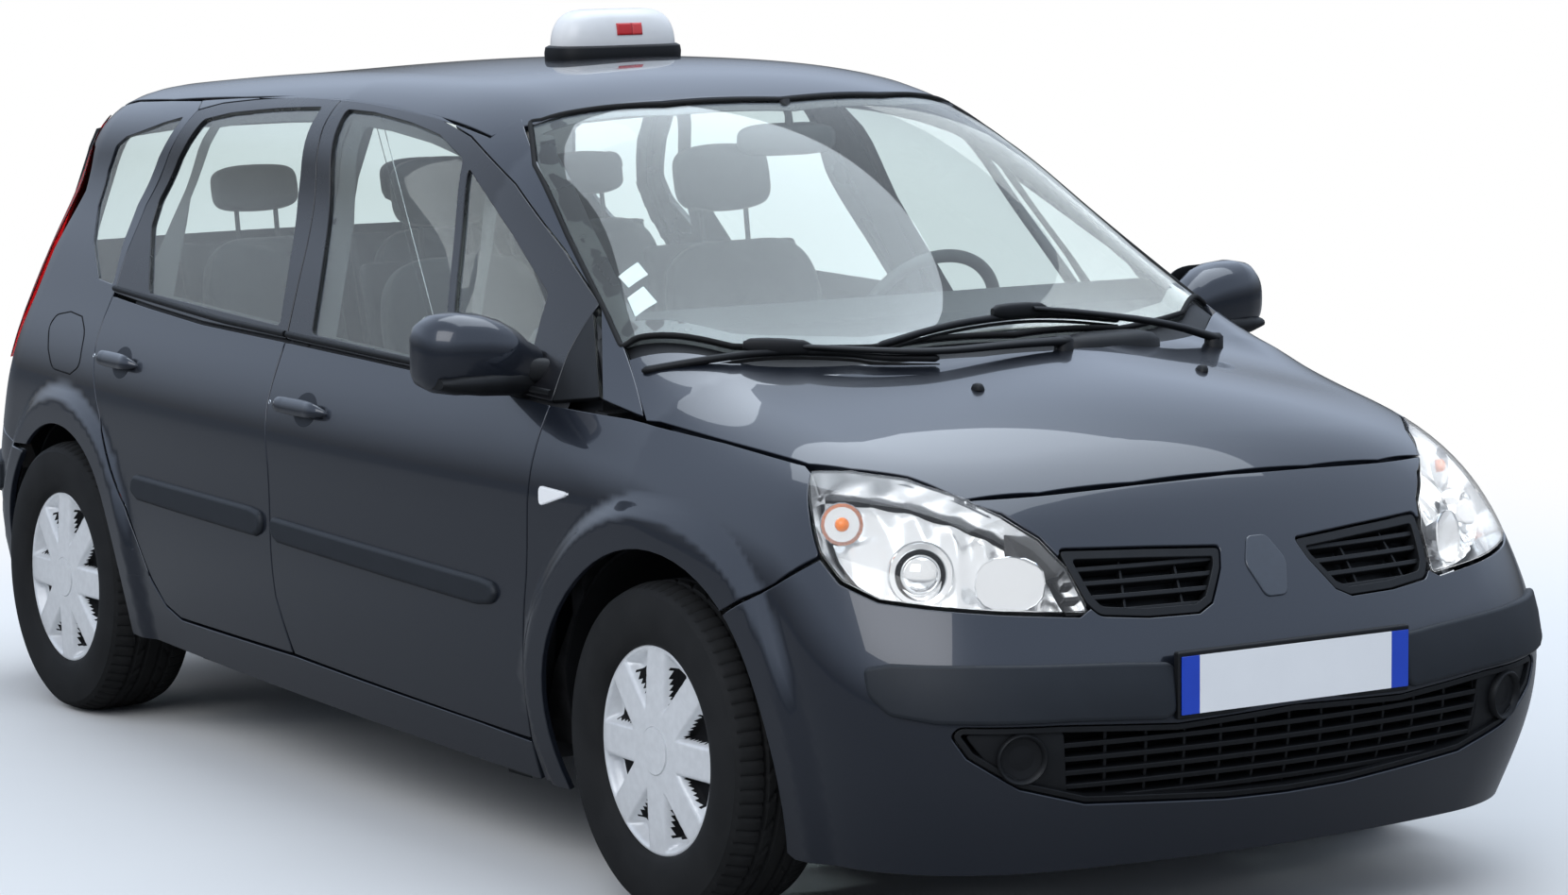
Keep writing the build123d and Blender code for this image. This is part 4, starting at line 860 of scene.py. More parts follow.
def plate(kind, c, thick, on="body"):
    """A plain white plate with blue end bands."""
    c = np.array(c)
    box("plate_%swhite" % kind, c, (thick, 0.440, 0.105), WHITE, 0.001, on=on)
    for sgn, s in SIDES:
        box("plate_%sblue_%s" % (kind, s), c + [0, sgn * 0.240, 0], (thick, 0.0395, 0.105), BLUE, 0.001, on=on)


box("plate_base", (0.8350, 0, 0.4995), (0.016, 0.530, 0.122), TRIM, 0.004)
plate("", (0.8450, 0.0, 0.4995), 0.003)
box("plate_mount", (0.800, 0, 0.4995), (0.055, 0.50, 0.112), PAINT, 0.004)

# bare shield where the badge sits
shield = [(-.030, .735), (.030, .735), (.062, .690), (.030, .630), (-.030, .630), (-.062, .690)]
panel("badge_recess", NOSE, soft(shield), BADGE, cell=0.01, thick=0.012, lift=0.0035, edge=0.003)

# headlamps
lamp = nose_ring([(.304, -.692, .866), (.366, -.645, .869), (.455, -.581, .859), (.549, -.523, .83),
                  (.608, -.482, .799), (.659, -.436, .759), (.702, -.406, .71), (.755, -.392, .631),
                  (.708, -.553, .643), (.637, -.666, .655), (.574, -.724, .664), (.504, -.758, .692),
                  (.444, -.764, .737), (.387, -.744, .797)])
for sgn, s in SIDES:
    ring = soft(flipped(lamp, sgn), .018)
    panel("lamp_lens_" + s, NOSE, ring, LENS, cad=("headlamps",), cell=0.016, thick=0.003, edge=0.0012, gap=0.0015,
          lift=0.0005, close=True)

    def facets(p, n):
        a = p[:, 1] * sgn * 60 + p[:, 2] * 25
        return p - n * (0.006 * np.abs(np.sin(a)))[:, None], n

    v, f, _ = panel_data(NOSE, grow(ring, 0.012), cell=0.008, thick=0.004, lift=-0.060, warp=facets)
    fix_normals(make_mesh("lamp_reflector_" + s, v, f, LAMPIN))
    edge = NOSE.up(dense(inset(ring * [STRETCH, 1], 0.004), 0.012) / [STRETCH, 1])
    under = normal(edge)
    loft("lamp_wall_" + s, [edge - under * d for d in (0.005, 0.030, 0.068)], LAMPIN, caps=False)
    axes = across(unit(np.array([0.86, sgn * 0.50, 0.12])))
    c = on_nose(.60, sgn * .655, .722, -0.040)
    turned("projector_ring_" + s, c, axes, [(0.058, -0.030), (0.060, -0.004), (0.056, 0.004), (0.047, 0.002),
                                            (0.042, -0.008), (0.040, -0.020)], CHROME, 48, sharp=50, caps=False)
    turned("projector_lens_" + s, c, axes, [(0.040, -0.02)] + [
        (0.038 * math.cos(t), -0.012 + 0.030 * math.sin(t)) for t in np.linspace(0, 1.5, 8)], CHROME, 48, sharp=50)
    c = on_nose(.70, sgn * .52, .700, -0.034)
    turned("beam_bowl_" + s, c, axes, [(0.064, 0.008), (0.062, 0.010), (0.056, -0.004), (0.044, -0.020),
                                       (0.026, -0.032), (0.008, -0.036)], LAMPIN, 16, 2.4, 0.78, sharp=10)
    turned("beam_bulb_" + s, c, axes, [(0.008, -0.034), (0.008, -0.006), (0.005, 0.0), (0.001, 0.001)], CHROME,
           sharp=60)
    c = on_nose(.43, sgn * .715, .800, -0.032)
    turned("indicator_bowl_" + s, c, axes, [(0.040, -0.004), (0.038, 0.004), (0.030, -0.006), (0.016, -0.014),
                                            (0.004, -0.016)], LAMPIN, 18, sharp=10)
    turned("indicator_bulb_" + s, c, axes, [(0.013 * math.cos(t), 0.012 * math.sin(t))
                                            for t in np.linspace(-1.4, 1.4, 9)], ORANGE, sharp=60)

# ------------------------------------------------------------ windscreen
screen = whole([(-.858, 0), (-.893, -.268), (-.990, -.505), (-1.011, -.521), (-.881, -.585), (-.665, -.635),
                (-.44, -.682), (-.335, -.708), (-.330, -.68), (-.20, -.54), (-.085, -.295), (-.03, 0)], [1, -1])
outline = round_ring(screen, .03)
panel("windscreen_glass", TOP, outline, GLASS, cad=("windscreen",), cell=0.045, thick=0.005, edge=0.0012, gap=0.003,
      lift=-0.003, close=True)
panel("screen_band", TOP, outline, FRAME, holes=[round_ring(inset(screen, 0.045), .07)], cell=0.02, thick=0.002,
      edge=0.0005, lift=-0.0085)
seal = TOP.up(dense(inset(outline, 0.001), 0.02))
tube("screen_seal", seal - normal(seal) * 0.002, 0.0055, RUBBER, closed=True, n=8)
scuttle = [(-.345, -.70), (-.20, -.545), (-.085, -.30), (-.03, 0), (-.085, .30), (-.20, .545), (-.345, .70),
           (-.300, .712), (-.125, .54), (0, .30), (.068, .14), (.080, 0), (.068, -.14), (0, -.30), (-.125, -.54),
           (-.300, -.712)]
panel("scuttle", TOP, scuttle, TRIM, cad=("cowl_panel",), cell=0.02, thick=0.012, edge=0.002, lift=-0.016, close=True)

# ------------------------------------------------------------ rear end
gate = whole([(0.0, 1.418), (.30, 1.412), (.53, 1.398), (.552, 1.385), (.560, 1.33), (.565, 1.275), (.602, 1.06),
              (.652, .93), (.657, .79), (.642, .660), (.40, .650), (0.0, .650)], [-1, 1])
gate_light = whole([(0.0, 1.375), (.30, 1.370), (.47, 1.352), (.492, 1.32), (.540, 1.08), (.545, 1.045), (.50, 1.02),
                    (.25, 1.008), (0.0, 1.004)], [-1, 1])
light_ring = round_ring(gate_light, .03)
panel("tailgate_skin", TAIL, tail_ring(gate), PAINT, "tailgate", holes=[tail_ring(light_ring)], cell=0.024,
      thick=0.013, edge=0.0025, gap=0.0015)
sunk("tailgate", CABIN, "tailgate", depth=0.016)
panel("tailgate_pane", TAIL, tail_ring(inset(light_ring, -0.008)), GLASS, "tailgate", ("tailgate_glass",), cell=0.04,
      thick=0.004, edge=0.001, lift=-0.003, close=True)
panel("tailgate_band", TAIL, tail_ring(inset(light_ring, -0.006)), FRAME, "tailgate",
      holes=[tail_ring(round_ring(inset(gate_light, 0.035), .03))], cell=0.02, thick=0.002, edge=0.0005, lift=-0.008)
# handle bar above the plate's recess
box("tailgate_bar", (-3.396, 0, .905), (0.040, 0.46, 0.036), PAINT, 0.010, on="tailgate")
box("plate_rear_base", (-3.400, 0, .800), (0.012, 0.530, 0.122), TRIM, on="tailgate")
plate("rear_", (-3.4075, 0, .800), 0.004, "tailgate")

tail_lamp = [on_tail(-y, z) for y, z in ((.667, .79), (.661, .93), (.612, 1.06), (.575, 1.28), (.569, 1.375))]
tail_lamp += [(-3.02, -.572, 1.352)]
tail_lamp += [on_tail(-y, z) for y, z in ((.608, 1.30), (.643, 1.20), (.694, 1.06), (.739, .95), (.769, .86),
                                          (.784, .795), (.73, .788))]
for sgn, s in SIDES:
    ring = TAIL.down(np.array(tail_lamp) * [1, -sgn, 1])
    panel("tail_lens_" + s, TAIL, soft(ring, steps=3), REDLENS, cad=("tail_lamps",), cell=0.018, thick=0.003,
          edge=0.0012, gap=0.001, lift=0.004, close=True)
    panel("tail_bowl_" + s, TAIL, grow(ring, 0.004), LAMPIN, cell=0.018, thick=0.01, lift=-0.020)

rear_bumper = [(-3.42, 0, .640), on_tail(-.40, .640), on_tail(-.60, .648)]
rear_bumper += list(on_side([(-3.18, .628), (-3.02, .598)] + arc(*ARCH_R, 130, 205, 20) + [(-3.15, .225)]))
rear_bumper += [on_tail(-.62, .222), on_tail(-.3, .215), (-3.4, 0, .215)]
panel("rear_bumper_skin", TAIL, whole(TAIL.down(np.array(rear_bumper)), [-1, 1]), PAINT, cell=0.02, thick=0.014,
      edge=0.003, gap=0.0012)
sunk("rear_bumper", TRIM, depth=0.018)
for sgn, s in SIDES:
    ring = tail_ring([(sgn * y, z) for y, z in ((-.20, .555), (-.55, .560), (-.76, .560), (-.80, .54), (-.80, .475),
                                                (-.76, .455), (-.55, .450), (-.20, .450))])
    panel("strip_rear_" + s, TAIL, soft(ring, .01, 3), STRIP, **STRIPS)
panel("strip_rear_mid", TAIL, tail_ring(rect(-.19, .555, .19, .450)), STRIP, cell=0.02, thick=0.024, lift=0.006,
      edge=0.006)

# ------------------------------------------------------------ side details
MOULDINGS = {
    "front": [(-1.512, .594), (-1.503, .551), (-1.475, .541), (-1.05, .529), (-.628, .517), (-.566, .524),
              (-.545, .545), (-.559, .568), (-.603, .573), (-1.05, .584)],
    "rear": [(-2.243, .607), (-2.259, .566), (-2.214, .55), (-1.9, .546), (-1.586, .542), (-1.553, .556),
             (-1.556, .597), (-1.615, .604), (-1.9, .606)]}
HANDLES = {"front": (-1.514, -1.274, .832), "rear": (-2.484, -2.262, .848)}     # stations of the ends, height
WAISTS = {"front": [(-.445, .944), (-.8, .957), (-1.2, .965), (-1.562, .972)],
          "rear": [(-1.574, .972), (-1.9, .977), (-2.25, .990), (-2.538, 1.000)]}
# offset, station, half length, half height, height
MIRROR_SHELL = ((.775, -.548, .030, .034, .992), (.80, -.552, .040, .046, .996), (.825, -.560, .056, .062, 1.004),
                (.86, -.568, .070, .074, 1.012), (.90, -.574, .077, .080, 1.018), (.95, -.578, .077, .081, 1.021),
                (.985, -.582, .070, .075, 1.021), (1.008, -.588, .055, .060, 1.019), (1.018, -.592, .036, .040, 1.018),
                (1.020, -.594, .015, .018, 1.018))


def handle(b, sgn, x0, x1, z):
    """A bowl in a door, painted darker as the shade in its recess, with a bar across it."""
    t = turns(28)
    bowl = np.stack([(x0 + x1) / 2 + 0.015 + 0.052 * np.cos(t), z + 0.036 * np.sin(t)], 1)
    # The bowl is a flat patch of darker, uncoated paint: painted shade for the recess
    panel(b + "_bowl", SIDE[sgn], bowl, INNER_AND_SHADE_PAINT, b, cell=0.01, thick=0.002, edge=0.0015, lift=0.0006)
    rings = []
    for k, x in enumerate(np.linspace(x0 + .004, x1 - .004, 17)):
        f = abs(2 * k / 16 - 1)
        stand = 0.024 if f < 0.62 else 0.024 * (1 - ((f - 0.62) / 0.38) ** 2) + 0.002
        p = SIDE[sgn].up((x, z))
        n = normal(p)
        rings.append(oval(p + n * (stand - 0.006), 0.009 if f < 0.99 else 0.002, 0.0165 * (1 - f ** 5) + 0.0015, n,
                          unit(np.cross(n, X)), 2.3, 20))
    loft(b + "_handle", rings, PAINT, b, sharp=60)
    xl = x0 + .018
    out = normal(SIDE[sgn].up((xl, z))) * 0.026
    tube(b + "_lockring", [SIDE[sgn].up((xl + .004 * math.cos(q), z + .004 * math.sin(q))) + out
                           for q in np.linspace(0, 6.0, 8)], 0.001, CHROME, b, n=6)


def door_mirror(b, sgn, s):
    rings = []
    for y, cx, a, h, z in MIRROR_SHELL:
        r = oval((cx, sgn * y, z), a, h, X, Z, 2.5, 36)
        r[:, 0] = np.maximum(r[:, 0], cx - 0.62 * a)
        rings.append(r)
    loft("mirror_shell_" + s, rings, PAINT, b, ("mirror_" + s,), sharp=40)
    for part, x, a, h, thick, mat in (("glass", -.6265, .088, .066, 0.003, MIRROR),
                                      ("rim", -.6245, .096, .073, 0.004, TRIM)):
        stack("mirror_%s_%s" % (part, s), (x, sgn * .912, 1.018), ((0, a, h), (-thick, a, h)), mat, 36, 3.0, (X, Y, Z),
              on=b, sharp=30)
    loft("mirror_arm_" + s, [oval((-.500 - .045 * t, sgn * (.715 + .105 * t), .975 + .010 * t), .036 - .004 * t, .026,
                                  X, Z, 3, 24) for t in np.linspace(0, 1, 9)], TRIM, b, sharp=50)
    loft("mirror_under_" + s, [oval((-.568, sgn * y, .962 + (y - .79) * .03), a, h, X, Z, 2.6, 28) for y, a, h in
                               ((.790, .050, .030), (.83, .066, .030), (.90, .076, .028), (.96, .073, .022),
                                (1.0, .055, .012))], TRIM, b, sharp=50)


for sgn, s in SIDES:
    doors = [(end, "door_%s_%s" % (end, s)) for end in DOORS]
    for end, b in doors:
        panel("mould_%s_%s" % (end, s), SIDE[sgn], round_ring(MOULDINGS[end], .02), STRIP, b, cell=0.025, thick=0.020,
              edge=0.011, lift=0.012)
    for end, b in doors:
        handle(b, sgn, *HANDLES[end])
    # repeater on the wing
    panel("repeater_" + s, SIDE[sgn], round_ring([(-.397, .776), (-.392, .736), (-.276, .771)]), WHITE, cell=0.012,
          thick=0.009, edge=0.004, lift=0.006)
    door_mirror("door_front_" + s, sgn, s)
    for end, b in doors:
        q = SIDE[sgn].up(dense(WAISTS[end], .05, closed=False))
        tube(b + "_waist", q + normal(q) * 0.003, 0.007, TRIM, b, n=8)

# filler flap: a groove line round it, on the right, drawn as a near-black tube of painted shade in the gap
flap = [(-2.867, .89), (-2.844, .918), (-2.761, .931), (-2.681, .926), (-2.63, .894), (-2.605, .818), (-2.656, .796),
        (-2.777, .799), (-2.827, .839)]
q = SIDE[-1].up(dense(round_ring(flap, .02), .01))
tube("filler_line", q - normal(q) * 0.0008, 0.0022, PAINTED_SHADE, closed=True, n=6)

for sgn, s in SIDES:
    p = on_top(.222, sgn * .263)
    stack("jet_" + s, p, ((-.002, .015, .011), (.004, .014, .010), (.010, .009, .008), (.012, .004, .004)), TRIM, 20,
          2.5, (normal(p), X, Y), on="bonnet", sharp=50)

# wipers: points of the blade and of the arm, each by station, offset and height above the body
WIPERS = {
    "right": ([(-.242, -.716, .004), (-.163, -.628, .012), (-.131, -.489, .018), (-.055, -.36, .016),
               (-.019, -.336, .014), (.055, -.235, .012)],
              [(-.103, -.443, .030), (.004, -.319, .030), (.062, -.227, .026), (.075, -.08, .020), (.070, .045, .016)]),
    "left": ([(-.058, -.303, .014), (-.065, -.14, .020), (-.074, .033, .020), (-.081, .164, .018),
              (-.098, .299, .012)],
             [(-.070, .063, .034), (-.060, .18, .032), (-.070, .386, .028), (-.050, .502, .016)]),
}
HINGE_AT = 2         # the point of the blade that its arm holds
RUBBER_DROP = .014
for s, (blade, arm) in WIPERS.items():
    line = smooth([on_top(*q) for q in blade])
    tube("wiper_blade_" + s, line, [.003] + [.0075] * (len(line) - 2) + [.003], TRIM, n=8)
    tube("wiper_rubber_" + s, smooth([on_top(x, y, d - RUBBER_DROP) for x, y, d in blade]), .0035, RUBBER, n=6)
    run = smooth([on_top(*q) for q in arm])
    tube("wiper_arm_" + s, run, np.linspace(.009, .017, len(run)), TRIM, n=12, flat=.55)
    along = unit(line[len(line) // 2 + 1] - line[len(line) // 2 - 1])
    aside = unit(np.cross(along, Z))
    above = np.cross(aside, along)
    c = on_top(*blade[HINGE_AT]) + above * .008
    stack("wiper_hinge_" + s, c, [(d, .013 * k, .016 * k) for d, k in (
        (-.062, .45), (-.050, .85), (-.02, 1.0), (.02, 1.0), (.055, .85), (.068, .5))], TRIM, 20, 3,
        (along, aside, above), sharp=50)
    turned("wiper_pivot_" + s, on_top(*arm[-1][:2], .004), (Z, X, Y), ((.019, -.03), (.019, .014), (.013, .021)), TRIM,
           sharp=50)
# cover over the wipers' linkage
stack("wiper_cover", on_top(-.010, .215, -.012), ((-.03, .050, .120), (.006, .048, .115), (.018, .040, .100),
                                                  (.024, .025, .070)), TRIM, 36, 2.6, sharp=50)

# blank stickers low on the screen: station, offset, width, length
for i, (x, y, w, h) in enumerate(((-.470, -.600, .046, .040), (-.405, -.625, .050, .052))):
    panel("sticker_%d" % i, TOP, rect(x - h / 2, y - w / 2, x + h / 2, y + w / 2), STICKER, cell=0.02, thick=0.0006,
          edge=0.0002, lift=-0.0088)

# roof sign
SIGN_X, SIGN_Z = -1.555, 1.528       # middle of the sign, height of its foot
DOME_FOOT, DOME_RISE = .042, .074


def dome_half(t):
    """Half sizes of the dome along and across the car, t from 0 at its foot to a quarter turn at its top."""
    k = math.cos(t)
    return .016 + .052 * k ** .6, .045 + .100 * k ** .55


foot = np.array([SIGN_X, 0, SIGN_Z])
stack("sign_base", foot, ((-.012, .072, .150), (.004, .078, .156), (.022, .079, .157), (.034, .077, .155),
                          (.038, .071, .148)), TRIM, 64, 3.2, cad=("roof_sign",), sharp=45)
dome = [(.034, .068, .145), (DOME_FOOT, .0685, .1455)]
dome += [(DOME_FOOT + DOME_RISE * math.sin(t), *dome_half(t)) for t in np.linspace(0, math.pi / 2, 12)[1:-1]]
dome += [(DOME_FOOT + DOME_RISE, .010, .03)]
stack("sign_dome", foot, dome, SIGNW, 64, 3.0, sharp=60)
# two-tone red patch on the sign's front
for i, (y0, y1, mat) in enumerate(((-.028, .012, RED), (.012, .036, RED2))):
    verts = []
    for z in np.linspace(.060, .086, 7):
        a, b = dome_half(math.asin((z - DOME_FOOT) / DOME_RISE))
        verts += [(SIGN_X + a * (1 - abs(y / b) ** 3) ** (1 / 3) + .0012, y, SIGN_Z + z)
                  for y in np.linspace(y0, y1, 7)]
    faces = [(k, k + 1, k + 8, k + 7) for k in range(42) if k % 7 < 6]
    thick = make_mesh("sign_patch_%d" % i, verts, faces, mat).modifiers.new("thick", "SOLIDIFY")
    thick.thickness, thick.offset = .0008, 0

# ------------------------------------------------------------ wheels
TYRE_STEPS, COVER_STEPS = 360, 256
GROOVES, GROOVE_HALF, GROOVE_DEPTH, CUT_DEPTH = (.016, .045), .0038, .0065, .0045
SHOULDER, MIDDLE = .050, .018           # offsets beyond which the tread has its close and its wide cuts
RIM_EDGE, RIM_FACE = 0.198, 0.056       # radius and offset of the steel rim's outer face
SPOKE = math.pi / 4                     # angle from one spoke to the next
COVER_R, COVER_FACE, COVER_BOW = .2005, 0.094, 0.006     # radius, offset of the middle, fall at 0.2 m
# the last value is the radius within which the windows' floors are painted near-black as shade
WINDOW_IN, WINDOW_OUT, WINDOW_DEPTH, SHADE_OUT = 0.083, 0.1925, 0.026, .160


def tread_ring(o, r, th):
    """Radii round the tyre at offset o, with the grooves and the cross cuts."""
    if min(abs(abs(o) - at) for at in GROOVES) < GROOVE_HALF:
        return np.full(len(th), r - GROOVE_DEPTH)
    k = np.arange(len(th))
    if abs(o) > SHOULDER:
        cut = k % 5 == (0 if o > 0 else 2)
    elif abs(o) > MIDDLE:
        cut = (k + int(abs(o) * 260)) % 10 == 0
    else:
        return np.full(len(th), r)
    return np.where(cut, r - CUT_DEPTH, r)


def wheel(tag, cx, sgn):
    """Tyre with a cut tread, and a silver eight-spoke cover. sgn is +1 on the left."""
    on, cy = "wheel_" + tag, sgn * TRACK
    th = turns(TYRE_STEPS)
    # profile from the inner bead to the outer bead: offset outwards, radius
    inner = [(-.090, .200), (-.100, .212), (-.107, .240), (-.107, .268), (-.101, .290), (-.094, .3035)]
    outer = [(.094, .3035), (.0985, .296), (.1005, .2945), (.1015, .290), (.107, .268), (.1075, .240), (.104, .222),
             (.1035, .2205), (.101, .2125), (.0975, .206), (.092, .2010), (.088, .198)]
    rows = [(o, np.full(TYRE_STEPS, r)) for o, r in inner]
    for o in np.linspace(-.086, .086, 45):
        rows.append((o, tread_ring(o, .3165 - 2.07 * max(0, abs(o) - .055) ** 1.6 - .0012 * (o / .08) ** 2, th)))
    rows += [(o, np.full(TYRE_STEPS, r)) for o, r in outer]
    loft("tyre_body_" + tag, [
        np.stack([cx + r * np.cos(th), np.full(TYRE_STEPS, cy + sgn * o), HUB + r * np.sin(th)], 1)
        for o, r in rows], RUBBER, on, ("tyre_" + tag,), sharp=40, loop=True)

    # the steel rim, set back behind the cover
    v, faces = cad_mesh("wheel_" + tag)
    off = sgn * v[:, 1] - TRACK
    inside = np.hypot(v[:, 0] - cx, v[:, 2] - HUB) < RIM_EDGE
    v[:, 1] = np.where(inside & (off > RIM_FACE), sgn * (TRACK + RIM_FACE + 0.05 * (off - RIM_FACE)), v[:, 1])
    rim = make_mesh("rim_" + tag, v, faces, RIM, on, ("wheel_" + tag,))
    rim.data.set_sharp_from_angle(angle=math.radians(35))

    # cover: a height field with eight recessed windows, the floors deep inside them painted near-black as shade
    rads = np.concatenate([np.linspace(.006, .044, 8), [.0448, .0456, .0466], np.linspace(.050, .186, 27),
                           np.linspace(.188, COVER_R, 6)])
    ang = turns(COVER_STEPS)
    R, A = np.meshgrid(rads, ang, indexing="ij")
    around = (A + math.pi / 2) % SPOKE
    half_spoke = 0.0285 + 0.006 * np.clip((0.10 - R) / 0.05, 0, 1) ** 2
    from_spoke = R * np.sin(np.minimum(around, SPOKE - around)) - half_spoke
    win = np.minimum(np.minimum(from_spoke, R - WINDOW_IN), WINDOW_OUT - R)    # how far inside a window
    cap = -0.0015 * ((R > .0445) & (R < .0462)) + 0.002 * (R < .0445)
    face = (COVER_FACE - COVER_BOW * (R / 0.2) ** 2 - WINDOW_DEPTH * step(win / 0.016) + cap
            - 0.006 * step((R - .196) / .006))
    V = np.stack([cx + R * np.cos(A), cy + sgn * face, HUB + R * np.sin(A)], -1).reshape(-1, 3)
    turn_in = np.stack([cx + COVER_R * np.cos(ang), np.full(COVER_STEPS, cy + sgn * .070),
                        HUB + COVER_R * np.sin(ang)], 1)
    centre = len(V)
    last = centre - COVER_STEPS
    faces, dark = [], []
    for i in range(len(rads) - 1):
        for j in range(COVER_STEPS):
            k = (j + 1) % COVER_STEPS
            row, beyond = i * COVER_STEPS, (i + 1) * COVER_STEPS
            faces.append((row + j, row + k, beyond + k, beyond + j))
            # faces deep inside a window, short of the outer radius, take the near-black painted shade
            dark.append(min(win[i, j], win[i, k], win[i + 1, j], win[i + 1, k]) > 0.006 and R[i, j] < SHADE_OUT)
    for j in range(COVER_STEPS):
        faces.append((centre, (j + 1) % COVER_STEPS, j))
    for j in range(COVER_STEPS):
        k = (j + 1) % COVER_STEPS
        faces.append((last + j, last + k, centre + 1 + k, centre + 1 + j))
    dark += [False] * (2 * COVER_STEPS)
    o = make_mesh("cover_" + tag, np.concatenate([V, [[cx, cy + sgn * 0.096, HUB]], turn_in]), faces, COVER, on)
    o.data.materials.append(PAINTED_SHADE)
    o.data.polygons.foreach_set("material_index", [int(d) for d in dark])
    if o.data.polygons[len(faces) - COVER_STEPS - 1].normal.y * sgn < 0:
        o.data.flip_normals()
    o.data.set_sharp_from_angle(angle=math.radians(50))
    # valve
    p = np.array([cx + .176 * math.cos(-1.0), cy + sgn * .076, HUB + .176 * math.sin(-1.0)])
    tube("valve_" + tag, [p, p + [0, sgn * .016, 0]], .0035, RUBBER, on, n=8)


for end, cx in (("front", 0.0), ("rear", -WHEELBASE)):
    for sgn, s in SIDES[::-1]:
        wheel("%s_%s" % (end, s), cx, sgn)


# ------------------------------------------------------------ seats
def pad_mesh(size, cells, power=4.0):
    """A rounded closed pad on a unit cube's grid, centred."""
    verts, faces, index = [], [], {}

    def number(p):
        key = tuple(np.round(p, 6))
        if key not in index:
            index[key] = len(verts)
            verts.append(p)
        return index[key]

    g = np.linspace(-1, 1, cells + 1)
    for axis in range(3):
        for s in (-1, 1):
            for i in range(cells):
                for j in range(cells):
                    quad = []
                    for a, b in ((i, j), (i + 1, j), (i + 1, j + 1), (i, j + 1)):
                        p = np.zeros(3)
                        p[axis] = s
                        p[(axis + 1) % 3], p[(axis + 2) % 3] = g[a], g[b]
                        quad.append(number(p))
                    faces.append(quad if s > 0 else quad[::-1])
    v = np.array(verts)
    return v / (np.sum(np.abs(v) ** power, 1) ** (1 / power))[:, None] * (np.array(size) / 2), faces


def swell(name, v, faces, reach):
    """The pad after a short cloth simulation under pressure, each point kept within reach of its start."""
    me = bpy.data.meshes.new(name)
    me.from_pydata([tuple(p) for p in v], [], [tuple(f) for f in faces])
    o = bpy.data.objects.new(name, me)
    scene = bpy.context.scene
    scene.collection.objects.link(o)
    st = o.modifiers.new("cloth", "CLOTH").settings
    st.use_pressure = True
    st.uniform_pressure_force = 4.0
    st.quality = 6
    st.effector_weights.gravity = 0
    for f in range(1, 19):
        scene.frame_set(f)
    ev = o.evaluated_get(bpy.context.evaluated_depsgraph_get())
    d = np.array([tuple(p.co) for p in ev.data.vertices]) - v
    scene.frame_set(1)
    bpy.data.objects.remove(o)
    return v + d * np.minimum(1, reach / np.maximum(np.linalg.norm(d, axis=1), 1e-9))[:, None]


# size, how far the cloth may swell, cells along an edge
KINDS = {"base": ((.44, .43, .105), .012, 16), "back": ((.115, .42, .52), .014, 16),
         "rest": ((.075, .24, .150), .008, 12), "rear_base": ((.38, .38, .105), .012, 14),
         "rear_back": ((.115, .36, .52), .014, 14), "rear_rest": ((.070, .21, .105), .008, 12)}
PADS = {}
for kind, (size, reach, cells) in KINDS.items():
    v, f = pad_mesh(size, cells)
    PADS[kind] = swell("sim_" + kind, v, f, reach), f
SEAM_AT, SEAM_DEPTH = 0.72, 0.006     # share of the half width, metres


def put_pad(name, kind, centre, lean, seam=None, node="front_seats"):
    """A pad, with a sewn seam near each side of the face that looks along the axis seam."""
    v, f = PADS[kind]
    v = v.copy()
    size = v.max(0) - v.min(0)
    if seam is not None:
        face = v[:, seam] / (size[seam] / 2)
        y = np.abs(v[:, 1]) / (size[1] / 2)
        v[:, seam] -= SEAM_DEPTH * np.clip(face, 0, 1) * np.exp(-((y - SEAM_AT) / 0.035) ** 2)
    a = math.radians(lean)
    x, z = v[:, 0] * math.cos(a) - v[:, 2] * math.sin(a), v[:, 0] * math.sin(a) + v[:, 2] * math.cos(a)
    o = make_mesh(name, np.stack([x, v[:, 1], z], 1) + np.array(centre), f, CLOTH, cad=(node,))
    m = o.modifiers.new("sub", "SUBSURF")
    m.levels = m.render_levels = 1


# each row: station and height of the base, back and rest; the posts' offset and ends; then the boxes below
# and behind (station, height, size)
ROWS = {
    "front": (((-1.215, .512), (-1.565, .870), (-1.688, 1.250)), .06, ((-1.672, 1.10), (-1.685, 1.20)),
              (((-1.30, .375), (.40, .36, .19)), ((-1.632, .86), (.035, .40, .50)), ((-1.22, .455), (.42, .41, .05)))),
    "rear": (((-2.01, .512), (-2.345, .870), (-2.455, 1.222)), .05, ((-2.44, 1.10), (-2.452, 1.19)),
             (((-2.08, .375), (.36, .34, .19)), ((-2.415, .86), (.030, .37, .50)), ((-2.02, .455), (.38, .37, .05)))),
}
for row, places in (("front", ((-.36, "right"), (.36, "left"))),
                    ("rear", ((-.44, "right"), (0, "middle"), (.44, "left")))):
    pads, post, ends, boxes = ROWS[row]
    for y, s in places:
        for (part, lean, fill, seam), (x, z) in zip((("base", 4, .85, 2), ("back", 16, .85, 0), ("rest", 12, .9, None)),
                                                    pads):
            put_pad("%s_%s_%s" % (row, part, s), ("rear_" if row == "rear" else "") + part, (x, y, z), lean,
                    seam, row + "_seats")
        for i, q in enumerate((-post, post)):
            tube("%s_post_%s_%d" % (row, s, i), [(x, y + q, z) for x, z in ends], .006, STEEL, n=8)
        for (part, bevel, lean), ((x, z), size) in zip((("frame", .02, 0), ("shell", .015, -16), ("pan", .02, -4)),
                                                       boxes):
            box("%s_%s_%s" % (row, part, s), (x, y, z), size, CABIN, bevel, lean)

